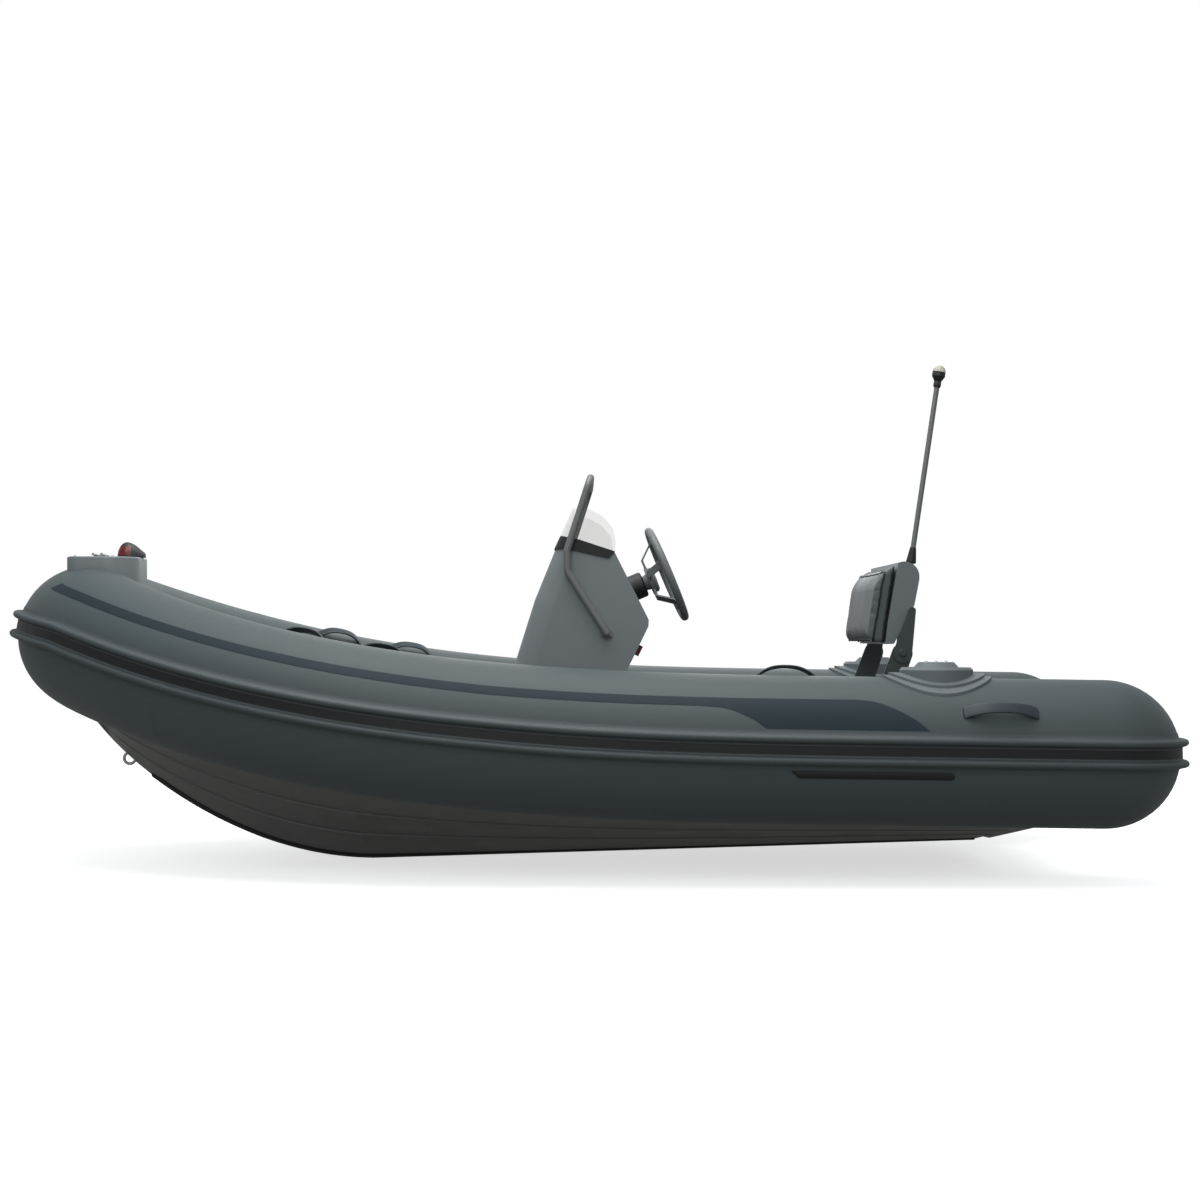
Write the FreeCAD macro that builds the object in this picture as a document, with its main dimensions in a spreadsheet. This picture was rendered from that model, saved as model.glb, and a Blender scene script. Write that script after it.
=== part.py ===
"""Rigid inflatable boat with a steering console, helm seat and light pole.

Millimetres. +X is forward, +Y is port, +Z is up. The origin is amidships, on the
centreline, at the height of the water.
"""
import FreeCAD, Part
import math
import os

from FreeCAD import Placement, Rotation, Vector

DOC = FreeCAD.newDocument("InflatableBoat")
SHEET = DOC.addObject("Spreadsheet::Sheet", "Dimensions")

# Driving dimensions
DIMENSIONS = {
    # Collar: plan of its centreline, sheer and tube radii
    "tube_radius": 241.0,
    "bow_tube_radius": 250.0,
    "tube_offset": 715.0,
    "bow_centre_x": 1712.0,
    "nose_arc_radius": 313.0,
    "entry_start_x": 277.0,
    "stern_cap_x": -1729.0,
    "tube_height_aft": 230.0,
    "tube_trim": 0.0142,
    "sheer_start_x": -913.0,
    "sheer_rise": 335.0,
    "bow_chamber_turn": 62.0,
    # Rub rail
    "rail_band": 50.0,
    "rail_band_thickness": 7.0,
    "rail_rib_offset": 31.0,
    "rail_rib_width": 25.0,
    "rail_rib_height": 29.0,
    "rail_tilt_stern": 2.5,
    "rail_tilt_bow": 10.5,
    "rail_end_turn": 98.0,
    "seat_gap": 0.3,
    "hull_seat_gap": 0.9,
    # Hull
    "transom_ahead": 229.0,
    "transom_rake": 12.0,
    "transom_thickness": 45.0,
    "transom_top": 396.0,
    "keel_depth": 177.0,
    "keel_slope": 0.03,
    "forefoot_x": 700.0,
    "keel_rise": 450.0,
    "stem_kick": 35.0,
    "stem_x": 1712.0,
    "stem_half_width": 9.0,
    "chine_angle": 10.0,
    "strake_width": 22.0,
    "seat_step": 20.0,
    "transom_step": 70.0,
    "transom_slant": 60.0,
    "motor_width": 480.0,
    "motor_plate_width": 340.0,
    "motor_plate_height": 220.0,
    "motor_plate_thickness": 8.0,
    "motor_plate_drop": 12.0,
    "hull_skin": 25.0,
    "keel_guard_width": 34.0,
    "keel_guard_thickness": 5.0,
    "keel_guard_end_x": 1502.0,
    # Cockpit
    "sole_height": 110.0,
    "sole_thickness": 12.0,
    "sole_edge_clearance": 6.0,
    "bulkhead_x": 880.0,
    "locker_end_x": 1390.0,
    "locker_top": 460.0,
    "locker_floor": 335.0,
    "locker_lid_x": 930.0,
    "locker_lid_length": 330.0,
    "locker_lid_width": 300.0,
    "locker_lid_thickness": 14.0,
    "locker_lid_lip": 24.0,
    "locker_tube_clearance": 4.0,
    "hinge_cheek": 10.0,
    "hinge_pin_radius": 3.0,
    "hinge_pin_length": 16.0,
    # Bow step
    "bow_step_x": 1490.0,
    "bow_step_length": 274.0,
    "bow_step_width": 330.0,
    "bow_step_top": 893.0,
    "bow_step_skirt": 175.0,
    "bow_step_corner": 45.0,
    "bow_step_edge": 6.0,
    "cleat_x": 1686.0,
    "cleat_horn_length": 104.0,
    "cleat_horn_spacing": 30.0,
    "cleat_horn_radius": 5.0,
    "cleat_height": 16.0,
    "eye_setback": 131.0,
    "eye_ring_radius": 20.0,
    "eye_wire_radius": 5.5,
    "eye_drop": 7.0,
    # Console
    "console_half_width": 290.0,
    "console_corner": 70.0,
    "screen_thickness": 5.0,
    "gasket_thickness": 4.0,
    "handrail_offset": 26.0,
    "handrail_radius": 12.5,
    "handrail_bend": 46.0,
    "handrail_flange_width": 9.0,
    "handrail_flange_thickness": 5.0,
    "switch_up": 60.0,
    "switch_across": 190.0,
    "switch_length": 38.0,
    "switch_width": 30.0,
    "switch_depth": 16.0,
    # Steering
    "wheel_radius": 180.0,
    "wheel_grip_radius": 14.0,
    "wheel_dish": 62.0,
    "wheel_x": -343.5,
    "wheel_height": 834.5,
    "wheel_tilt": 23.0,
    "spoke_count": 5.0,
    "spoke_width": 26.0,
    "helm_distance": 87.0,
    "hub_radius": 50.0,
    "wheel_cap_inset": 5.0,
    "boss_radius": 26.0,
    "bezel_radius": 46.0,
    # Helm seat
    "seat_front_x": -660.0,
    "seat_back_x": -1200.0,
    "seat_half_width": 340.0,
    "seat_height": 352.0,
    "seat_cushion_thickness": 62.0,
    "seat_corner": 24.0,
    "seat_edge": 10.0,
    "cushion_back_x": -1085.0,
    "cushion_front_inset": 12.0,
    "cushion_side_inset": 20.0,
    "cushion_corner": 40.0,
    "cushion_edge": 20.0,
    "backrest_half_width": 330.0,
    "pivot_x": -1135.0,
    "pivot_height": 554.0,
    "pivot_ear_radius": 35.0,
    "plate_foot_ahead": 98.0,
    "plate_foot_drop": 70.0,
    "plate_foot_radius": 40.0,
    "arm_ear_radius": 32.0,
    "arm_tip_radius": 12.0,
    "arm_boss_radius": 9.0,
    "plate_thickness": 8.0,
    "plate_gap": 0.3,
    # Light pole
    "pole_radius": 9.5,
    "pole_foot_x": -1142.0,
    "pole_lean": 8.4,
    "pole_top": 1504.0,
    "pole_collar_height": 874.0,
    "pole_collar_length": 56.0,
    "stanchion_base_radius": 30.0,
    "stanchion_base_height": 30.0,
    "globe_radius": 23.5,
    "globe_seat": 56.0,
    "globe_cup": 16.0,
    # Fittings
    "pad_x": -1187.0,
    "pad_base_radius": 176.0,
    "pad_base_across": 155.0,
    "pad_base_thickness": 7.0,
    "pad_ring_step": 22.0,
    "pad_ring_thickness": 15.0,
    "pad_tier_radius": 118.0,
    "pad_cap_radius": 73.0,
    "pad_height": 50.0,
    "handle_width": 34.0,
    "handle_height": 38.0,
    "handle_foot": 30.0,
    "handle_strap": 8.0,
    "strip_x": -955.0,
    "strip_length": 500.0,
    "strip_angle": -15.5,
    "strip_height": 22.0,
    "strip_thickness": 5.0,
    "stern_eye_across": 330.0,
    "stern_eye_up": 190.0,
    "stern_eye_radius": 14.0,
    "stern_eye_wire": 4.0,
    "stern_eye_plate": 17.0,
    "drain_across": 150.0,
    "drain_up": 90.0,
    "drain_radius": 22.0,
    "valve_x": -1400.0,
    "valve_angle": 165.0,
    "valve_radius": 24.0,
}


def fill_sheet():
    """Write each driving dimension to a cell of its own, named by an alias."""
    for row, (name, value) in enumerate(DIMENSIONS.items(), start=1):
        SHEET.set("A%d" % row, name)
        SHEET.set("B%d" % row, str(value))
        SHEET.setAlias("B%d" % row, name)
    DOC.recompute()


def dim(name):
    """Read one driving dimension from the sheet."""
    return float(getattr(SHEET, name))


def cell(expression):
    """Turn the dimension names in an expression into references to the sheet."""
    words = []
    for word in expression.split():
        words.append("Dimensions." + word if word in DIMENSIONS else word)
    return " ".join(words)


PIECES = []


def feature(label, shape):
    """Add a finished shape to the document as a sub-part."""
    piece = DOC.addObject("Part::Feature", label)
    piece.Label = label
    piece.Shape = shape.removeSplitter() if shape.Solids else shape
    PIECES.append(piece)
    return piece


def keep(piece, label):
    """Name a parametric object as a sub-part."""
    piece.Label = label
    PIECES.append(piece)
    return piece


# Collar path
class Station:
    """A cross-section of the collar: its centre, its axes and its tube radius."""

    def __init__(self, centre, outward, along, radius):
        self.centre = centre
        self.outward = outward
        self.along = along
        self.up = outward.cross(along)
        self.radius = radius

    def point(self, angle, radius):
        """A point at an angle in degrees above the outer equator."""
        turn = math.radians(angle)
        return self.centre + self.outward * (radius * math.cos(turn)) + self.up * (radius * math.sin(turn))

    def normal(self, angle):
        """The direction out of the tube at an angle above the equator."""
        return self.point(angle, 1.0) - self.centre

    def circle(self, radius):
        """The circle of the given radius about the centre, its seam at the outer equator."""
        edge = Part.makeCircle(radius)
        edge.Placement = Placement(self.centre, Rotation(self.outward, self.up, self.along, "ZXY"))
        return Part.Wire([edge])


def sheer_share(x):
    """How far x is along the rising part of the sheer, from 0 to 1 at the bow."""
    return max(0.0, (x - dim("sheer_start_x")) / (dim("bow_centre_x") - dim("sheer_start_x")))


def tube_height(x):
    """Height of the tube's centreline."""
    return dim("tube_height_aft") + dim("tube_trim") * (x - dim("stern_cap_x")) + dim("sheer_rise") * sheer_share(x) ** 3


def tube_slope(x):
    """Rise of the tube's centreline for each millimetre forward."""
    run = dim("bow_centre_x") - dim("sheer_start_x")
    return dim("tube_trim") + 3.0 * dim("sheer_rise") * sheer_share(x) ** 2 / run


def tube_radius_at(x):
    """The tube swells a little towards the bow."""
    share = max(0.0, (x - dim("entry_start_x")) / (dim("bow_centre_x") - dim("entry_start_x")))
    return dim("tube_radius") + (dim("bow_tube_radius") - dim("tube_radius")) * share ** 2


def side_arc_radius():
    """Radius of the arc that joins the straight side to the nose arc, tangent to both."""
    run = dim("bow_centre_x") - dim("nose_arc_radius") - dim("entry_start_x")
    width = dim("tube_offset")
    nose = dim("nose_arc_radius")
    return (run ** 2 + width ** 2 - nose ** 2) / (2.0 * (width - nose))


def nose_turn():
    """Turn in degrees, from straight ahead, where the nose arc meets the side arc."""
    run = dim("bow_centre_x") - dim("nose_arc_radius") - dim("entry_start_x")
    return math.degrees(math.atan2(side_arc_radius() - dim("tube_offset"), run))


def bow_station(turn):
    """A section of the bow, where the outward direction is turned from straight ahead."""
    cosine = math.cos(math.radians(turn))
    sine = math.sin(math.radians(turn))
    if abs(turn) <= nose_turn():
        x = dim("bow_centre_x") - dim("nose_arc_radius") * (1.0 - cosine)
        y = dim("nose_arc_radius") * sine
    else:
        arc = side_arc_radius()
        x = dim("entry_start_x") + arc * cosine
        y = arc * sine - math.copysign(arc - dim("tube_offset"), turn)
    along = Vector(-sine, cosine, -tube_slope(x) * sine)
    along.normalize()
    return Station(Vector(x, y, tube_height(x)), Vector(cosine, sine, 0), along, tube_radius_at(x))


def side_station(x, side):
    """A section of the straight side: side is 1 for port and -1 for starboard."""
    along = Vector(-side, 0, -side * tube_slope(x))
    along.normalize()
    centre = Vector(x, side * dim("tube_offset"), tube_height(x))
    return Station(centre, Vector(0, side, 0), along, dim("tube_radius"))


def cap_station(turn, side):
    """A section of the round stern end, turned past the beam by the given degrees."""
    first = side_station(dim("stern_cap_x"), side)
    turn = math.radians(turn)
    outward = first.outward * math.cos(turn) + first.along * (side * math.sin(turn))
    along = first.along * math.cos(turn) - first.outward * (side * math.sin(turn))
    return Station(first.centre, outward, along, first.radius)


def turns(first, last, count):
    """Evenly spaced values, both ends included."""
    return [first + (last - first) * step / (count - 1) for step in range(count)]


def straight_run(side):
    """The sections of one straight side, from the stern cap to where the side starts to curve in."""
    return [side_station(x, side) for x in turns(dim("stern_cap_x"), dim("entry_start_x"), 9)]


def curved_run(side):
    """The sections of one side's curve, from its start to the bow chamber."""
    return [bow_station(side * turn) for turn in turns(90.0, dim("bow_chamber_turn"), 6)]


def shoulder_run(side):
    """The sections of the side arc that belong to the bow chamber."""
    return [bow_station(side * turn) for turn in turns(dim("bow_chamber_turn"), nose_turn(), 4)]


def nose_run():
    """The sections of the nose arc, from starboard to port."""
    return [bow_station(turn) for turn in turns(-nose_turn(), nose_turn(), 11)]


# Collar
def tube_loft(stations):
    """The tube through one run of stations."""
    return Part.makeLoft([station.circle(station.radius) for station in stations], True, False)


def side_chamber(side):
    """One side tube with its round stern end."""
    stations = straight_run(side)
    cap = stations[0]
    aft = cap.along * side
    ball = Part.makeSphere(cap.radius, cap.centre, aft, 0, 90, 360)
    return tube_loft(stations).fuse(ball).fuse(tube_loft(curved_run(side)))


def collar():
    """The three air chambers: bow, port and starboard."""
    bow = tube_loft(nose_run()).fuse(tube_loft(shoulder_run(1))).fuse(tube_loft(shoulder_run(-1)))
    return bow, side_chamber(1), side_chamber(-1)


# Rub rail
def rail_tilt(x):
    """Angle of the rail's middle above the tube's equator."""
    share = (x - dim("stern_cap_x")) / (dim("bow_centre_x") - dim("stern_cap_x"))
    return dim("rail_tilt_stern") + (dim("rail_tilt_bow") - dim("rail_tilt_stern")) * max(0.0, share) ** 3


def rail_section(station):
    """The rail's section: a flat band against the tube with two ribs along it."""
    inner = station.radius + dim("seat_gap")
    middle = rail_tilt(station.centre.x)

    def at(offset, height):
        return station.point(middle + math.degrees(offset / station.radius), inner + height)

    band = dim("rail_band")
    skin = dim("rail_band_thickness")
    rib = dim("rail_rib_offset")
    half = dim("rail_rib_width") / 2.0
    tip = dim("rail_rib_height")
    profile = [(-band, 0.0), (-band + 2.0, skin)]
    for centre in (-rib, rib):
        profile += [
            (centre - half, skin),
            (centre - half * 0.9, tip * 0.72),
            (centre - half * 0.45, tip),
            (centre + half * 0.45, tip),
            (centre + half * 0.9, tip * 0.72),
            (centre + half, skin),
        ]
    profile += [(band - 2.0, skin), (band, 0.0)]
    points = [at(offset, height) for offset, height in profile]
    edges = [Part.LineSegment(first, second).toShape() for first, second in zip(points, points[1:])]
    edges.append(Part.Arc(points[-1], at(0.0, 0.0), points[0]).toShape())
    return Part.Wire(edges)


def rail(runs):
    """The rail along runs of stations that meet end to end."""
    lengths = [Part.makeLoft([rail_section(station) for station in run], True, False) for run in runs]
    return lengths[0].multiFuse(lengths[1:])


def side_rail(side):
    """The rail along one side and round its stern end."""
    end = [cap_station(turn, side) for turn in turns(dim("rail_end_turn"), 0.0, 9)]
    return rail([end, straight_run(side), curved_run(side)])


def bow_rail():
    """The rail round the bow chamber."""
    return rail([nose_run(), shoulder_run(1), shoulder_run(-1)])


# Hull
def keel_height(x):
    """Height of the keel line: nearly straight aft, swept up to the stem forward."""
    if x <= dim("forefoot_x"):
        return -dim("keel_depth") + dim("keel_slope") * (dim("forefoot_x") - x)
    share = (x - dim("forefoot_x")) / 1000.0
    return -dim("keel_depth") + dim("keel_rise") * share ** 2 + dim("stem_kick") * share ** 10


def underside_height(x, clear):
    """Height of the bow tube's underside on the centreline."""
    reach = dim("bow_tube_radius") + clear
    offset = x - dim("bow_centre_x")
    return tube_height(dim("bow_centre_x")) - math.sqrt(max(reach ** 2 - offset ** 2, 0.0))


def tube_line(x, angle, clear):
    """Where the line at an angle round the port tube crosses the plane at x."""
    if x <= dim("entry_start_x"):
        reach = dim("tube_radius") + clear
        past = side_station(x, 1).point(angle, reach).x - x
        point = side_station(x - past, 1).point(angle, reach)
        return Vector(x, point.y, point.z)
    low, high = 0.0, 90.0
    nose = bow_station(low)
    if nose.point(angle, nose.radius + clear).x <= x:
        return Vector(x, dim("stem_half_width"), underside_height(x, clear))
    for _ in range(40):
        middle = (low + high) / 2.0
        station = bow_station(middle)
        if station.point(angle, station.radius + clear).x > x:
            low = middle
        else:
            high = middle
    return Vector(x, station.point(angle, station.radius + clear).y, station.point(angle, station.radius + clear).z)


def seat_points(x):
    """Three points of the hull's seat under the tube, from the chine inwards."""
    step = dim("seat_step")
    clear = dim("tube_radius") * (1.0 / math.cos(math.radians(step / 2.0)) - 1.0) + dim("hull_seat_gap")
    first = -90.0 - dim("chine_angle")
    points = []
    for number, share in enumerate((1.0, 0.66, 0.33)):
        point = tube_line(x, first - step * number, clear)
        least = dim("stem_half_width") * share
        points.append(Vector(x, max(point.y, least), point.z + 1.0 - share))
    return points


def hull_section(x):
    """Half section of the bottom at x: keel, two lifting strakes and chine."""
    chine = seat_points(x)[0]
    half = chine.y
    keel = Vector(x, 0, min(keel_height(x), chine.z - 4.0))
    slope = (chine.z - keel.z) / half
    points = [keel]
    for share in (0.36, 0.68):
        width = dim("strake_width") * min(1.0, half / 500.0)
        root = keel + (chine - keel) * share
        points.append(root)
        points.append(root + Vector(0, width, 0))
        points.append(root + Vector(0, width, width * slope))
    points.append(chine)
    return points


def transom_x():
    """Where the foot of the transom's aft face stands, a fixed distance forward of the tubes' round ends."""
    return dim("stern_cap_x") + dim("transom_ahead")


def hull_stations():
    """Where the hull's sections stand along the keel, closer together where it bends."""
    aft = transom_x() + dim("transom_thickness")
    entry = dim("entry_start_x")
    shoulder = dim("bow_centre_x") - dim("nose_arc_radius")
    return turns(aft, entry, 16) + turns(entry, shoulder, 16)[1:] + turns(shoulder, dim("stem_x"), 11)[1:]


def closed_section(points):
    """A closed wire through a half section and its mirror image."""
    other = [Vector(point.x, -point.y, point.z) for point in reversed(points[1:])]
    return Part.makePolygon(points + other + [points[0]])


def rake():
    """The transom's rake as a run for each millimetre of height."""
    return math.tan(math.radians(dim("transom_rake")))


def transom_front(z):
    """Where the transom's forward face stands at a height."""
    foot = transom_x() + dim("transom_thickness") / math.cos(math.radians(dim("transom_rake")))
    return foot - rake() * (z - keel_height(transom_x()))


def raked(points):
    """The same points moved on to the transom's forward face, following the tubes down as they go aft."""
    moved = []
    for point in points:
        back = transom_front(point.z) + dim("seat_gap")
        z = point.z + tube_height(back) - tube_height(point.x)
        moved.append(Vector(transom_front(z) + dim("seat_gap"), point.y, z))
    return moved


def hull_shape():
    """The bottom moulding, seated under the tubes, with the cockpit well."""
    wires = []
    for x in hull_stations():
        points = hull_section(x) + seat_points(x)[1:]
        wires.append(closed_section(points if wires else raked(points)))
    return Part.makeLoft(wires, True, True).cut(well_block())


def cockpit_half_width(x):
    """Half width of the cockpit: clear of the tube at the sole's top, and inside the hull's skin."""
    clear = dim("sole_edge_clearance")
    drop = (tube_height(x) - dim("sole_height")) / (tube_radius_at(x) + clear)
    angle = -180.0 + math.degrees(math.asin(min(1.0, drop)))
    reach = tube_line(x, angle, clear).y
    section = hull_section(x)
    keel = section[0]
    chine = section[-1]
    floor = dim("sole_height") - dim("sole_thickness")
    if chine.z > floor:
        reach = min(reach, chine.y * (floor - keel.z) / (chine.z - keel.z) - dim("hull_skin"))
    return reach


def cockpit_block(aft, forward, grow, height):
    """A block over the sole's underside, from one end to the other, out to the cockpit's sides."""
    floor = dim("sole_height") - dim("sole_thickness")
    port = [Vector(x, cockpit_half_width(x) + grow, floor) for x in turns(aft, forward, 14)]
    starboard = [Vector(point.x, -point.y, point.z) for point in reversed(port)]
    outline = port + starboard
    return Part.Face(Part.makePolygon(outline + [outline[0]])).extrude(Vector(0, 0, height))


def well_block():
    """The space of the cockpit, up to the forward bulkhead."""
    return cockpit_block(dim("stern_cap_x"), dim("bulkhead_x"), 2.0 * dim("sole_edge_clearance"), dim("locker_top"))


def straight_tube(side, x, grow=0.0):
    """The straight part of a side tube round x, as a plain cylinder."""
    station = side_station(x, side)
    half = 600.0
    start = station.centre - station.along * half
    return Part.makeCylinder(station.radius + grow, 2.0 * half, start, station.along)


def on_board(solid):
    """Put a solid drawn on an upright board at the foot of the keel on to the raked transom."""
    foot = Vector(transom_x(), 0, keel_height(transom_x()))
    solid.Placement = Placement(foot, Rotation(Vector(0, 1, 0), -dim("transom_rake")))
    return solid


def board_top():
    """Height of the motor cut-out's edge up the transom board."""
    return dim("transom_top") - keel_height(transom_x())


def transom_shape():
    """The transom board: the hull's section at the stern, raised to carry a motor."""
    keel = keel_height(transom_x())
    chine = hull_section(transom_x())[-1]
    shoulder = board_top() - dim("transom_step")
    notch = dim("motor_width") / 2.0
    half = [
        Vector(0, 0, 0),
        Vector(0, chine.y, chine.z - keel),
        Vector(0, chine.y, shoulder),
        Vector(0, notch + dim("transom_slant"), shoulder),
        Vector(0, notch, board_top()),
    ]
    board = on_board(Part.Face(closed_section(half)).extrude(Vector(dim("transom_thickness"), 0, 0)))
    for side in (1, -1):
        board = board.cut(straight_tube(side, transom_x(), dim("seat_gap")))
    return board


def motor_plate():
    """The plate on the transom's aft face that an outboard motor's clamps bear on."""
    width = dim("motor_plate_width")
    height = dim("motor_plate_height")
    thickness = dim("motor_plate_thickness")
    low = board_top() - dim("motor_plate_drop") - height
    plate = Part.makeBox(thickness, width, height, Vector(-thickness - dim("seat_gap"), -width / 2.0, low))
    corners = [edge for edge in plate.Edges if abs(edge.Vertexes[0].X - edge.Vertexes[1].X) > thickness / 2.0]
    return on_board(plate.makeFillet(3.0 * thickness, corners))


def keel_guard_shape():
    """A rubber strip bent round the keel from the transom to below the towing eye."""
    aft = transom_x() + dim("transom_thickness") + 2.0 * dim("keel_guard_thickness")
    places = turns(aft, dim("forefoot_x"), 9) + turns(dim("forefoot_x"), dim("keel_guard_end_x"), 12)[1:]
    wires = []
    for x in places:
        section = hull_section(x)
        slope = (section[1].z - section[0].z) / section[1].y
        width = dim("keel_guard_width") * (0.55 + 0.45 * max(0.0, x / dim("stem_x")))
        width = min(width, section[1].y * 0.9)
        rise = (keel_height(x + 1.0) - keel_height(x - 1.0)) / 2.0
        drop = dim("keel_guard_thickness") * math.sqrt(1.0 + rise ** 2)
        seat = sag(x, places) + dim("seat_gap")
        keel = section[0]
        side = keel + Vector(0, width, width * slope)
        points = [
            keel - Vector(0, 0, drop + seat),
            side - Vector(0, 0, drop * 0.7 + seat),
            side - Vector(0, 0, seat),
        ]
        inner = keel - Vector(0, 0, seat)
        other = [Vector(point.x, -point.y, point.z) for point in reversed(points[1:])]
        wires.append(Part.makePolygon(points + [inner] + other + [points[0]]))
    return Part.makeLoft(wires, True, True)


def sag(x, places):
    """How far the keel's curve can bow away from the straight runs between places."""
    if x <= dim("forefoot_x"):
        return 0.0
    step = places[-1] - places[-2]
    return 2.0 * dim("keel_rise") / 1000.0 ** 2 * step ** 2 / 8.0


# Sketches
def plane(body, role):
    """One of a body's own origin planes."""
    for item in body.Origin.OriginFeatures:
        if item.Role == role:
            return item
    raise ValueError(role)


def sketch_on(body, name, role, offset=0.0):
    """A sketch on an origin plane of the body, moved along the plane's normal."""
    sketch = body.newObject("Sketcher::SketchObject", name)
    sketch.AttachmentSupport = [(plane(body, role), "")]
    sketch.MapMode = "FlatFace"
    sketch.AttachmentOffset = Placement(Vector(0, 0, offset), Rotation())
    return sketch


def draw(sketch, start, steps):
    """Draw a closed outline. A step of two numbers is a line, of four an arc by way of its middle."""
    here = Vector(start[0], start[1], 0)
    first = here
    for step in steps:
        there = Vector(step[-2], step[-1], 0)
        if len(step) == 2:
            sketch.addGeometry(Part.LineSegment(here, there), False)
        else:
            sketch.addGeometry(Part.Arc(here, Vector(step[0], step[1], 0), there), False)
        here = there
    if here.distanceToPoint(first) > 0.001:
        sketch.addGeometry(Part.LineSegment(here, first), False)
    return sketch


def new_body(name):
    """An empty body."""
    return DOC.addObject("PartDesign::Body", name)


def pad(body, name, sketch, length, both_sides=True):
    """Pad a sketch by a length given as an expression of driving dimensions."""
    item = body.newObject("PartDesign::Pad", name)
    item.Profile = sketch
    item.Midplane = both_sides
    item.setExpression("Length", cell(length))
    sketch.Visibility = False
    return item


def round_edges(body, base, name, edges, radius):
    """Round the named edges of a feature."""
    item = body.newObject("PartDesign::Fillet", name)
    item.Base = (base, edges)
    item.Radius = radius
    body.Tip = item
    return item


def edges_where(shape, test):
    """Names of the edges whose two end points both pass the test."""
    names = []
    for index, edge in enumerate(shape.Edges, start=1):
        ends = [vertex.Point for vertex in edge.Vertexes]
        if len(ends) == 2 and test(ends[0], ends[1]):
            names.append("Edge%d" % index)
    return names


fill_sheet()

# Hull, collar and rail
BOW_TUBE, PORT_TUBE, STARBOARD_TUBE = collar()
feature("collar_bow", BOW_TUBE)
feature("collar_port", PORT_TUBE)
feature("collar_starboard", STARBOARD_TUBE)
feature("rub_rail_bow", bow_rail())
feature("rub_rail_port", side_rail(1))
feature("rub_rail_starboard", side_rail(-1))
HULL = hull_shape()
feature("hull", HULL)
feature("transom", transom_shape())
feature("motor_plate", motor_plate())
KEEL_GUARD = keel_guard_shape()
feature("keel_guard", KEEL_GUARD)


# Cockpit sole
def sole_shape():
    """The flat floor panel, from the transom to the bulkhead and out to the tubes."""
    aft = transom_front(dim("sole_height") - dim("sole_thickness")) + 2.0 * dim("seat_gap")
    return cockpit_block(aft, dim("bulkhead_x") - dim("seat_gap"), 0.0, dim("sole_thickness"))


feature("cockpit_sole", sole_shape())


# Bow locker and its lid
def hull_top(x):
    """Height of the hull's top at x, with the seating gap."""
    return seat_points(x)[2].z + dim("seat_gap")


def locker_half_width(x):
    """Half width of the locker, which stops short of the tubes."""
    return tube_line(x, -180.0, dim("locker_tube_clearance")).y


def locker_shape():
    """The moulded locker between the bow tubes, open at the top."""
    start = dim("bulkhead_x") + dim("seat_gap")
    wires = []
    for x in turns(start, dim("locker_end_x"), 6):
        half = min(locker_half_width(x), seat_points(x)[2].y)
        wide = locker_half_width(x)
        foot = hull_top(x)
        top = dim("locker_top")
        points = [Vector(x, half, foot), Vector(x, wide, foot + 60.0), Vector(x, wide, top)]
        other = [Vector(point.x, -point.y, point.z) for point in reversed(points)]
        wires.append(Part.makePolygon(points + other + [points[0]]))
    return Part.makeLoft(wires, True, True).cut(locker_hollow())


def locker_hollow():
    """The storage space, narrower all round than the lid by its lip."""
    lip = dim("locker_lid_lip")
    length = dim("locker_lid_length") - 2.0 * lip
    width = dim("locker_lid_width") - 2.0 * lip
    corner = Vector(dim("locker_lid_x") + lip, -width / 2.0, dim("locker_floor"))
    return Part.makeBox(length, width, dim("locker_top"), corner)


feature("bow_locker", locker_shape())


def hinge_radius():
    """Radius of the lid's rounded hinge edge: half its thickness."""
    return dim("locker_lid_thickness") / 2.0


def hinge_centre():
    """The middle of the lid's hinge axis."""
    x = dim("locker_lid_x") + dim("locker_lid_length") - hinge_radius()
    return Vector(x, 0, dim("locker_top") + dim("seat_gap") + hinge_radius())


def locker_lid():
    """The hinged lid: a tray with rounded aft corners and a round hinge edge forward."""
    body = new_body("bow_locker_lid")
    sketch = sketch_on(body, "LidPlan", "XY_Plane", dim("locker_top") + dim("seat_gap"))
    start = dim("locker_lid_x")
    end = hinge_centre().x
    half = dim("locker_lid_width") / 2.0
    draw(sketch, (start, -half), [(end, -half), (end, half), (start, half), (start, -half)])
    lid = pad(body, "LidPad", sketch, "locker_lid_thickness", False)
    DOC.recompute()

    def aft_corner(first, second):
        return abs(first.z - second.z) > 1.0 and first.x < start + 1.0

    corners = round_edges(body, lid, "LidCorners", edges_where(lid.Shape, aft_corner), dim("locker_lid_lip"))
    DOC.recompute()
    barrel = sketch_on(body, "HingeEdge", "XZ_Plane")
    centre = hinge_centre()
    radius = hinge_radius()
    draw(barrel, (centre.x - radius, centre.z), [
        (centre.x, centre.z + radius, centre.x + radius, centre.z),
        (centre.x, centre.z - radius, centre.x - radius, centre.z),
    ])
    pad(body, "HingePad", barrel, "locker_lid_width")
    DOC.recompute()
    bore = sketch_on(body, "HingeBore", "XZ_Plane")
    hole = dim("hinge_pin_radius") + dim("seat_gap")
    draw(bore, (centre.x - hole, centre.z), [
        (centre.x, centre.z + hole, centre.x + hole, centre.z),
        (centre.x, centre.z - hole, centre.x - hole, centre.z),
    ])
    pocket = body.newObject("PartDesign::Pocket", "HingePocket")
    pocket.Profile = bore
    pocket.Midplane = True
    pocket.setExpression("Length", cell("locker_lid_width + 2 * locker_lid_lip"))
    bore.Visibility = False
    body.Tip = pocket
    return keep(body, "bow_locker_lid")


locker_lid()


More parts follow.
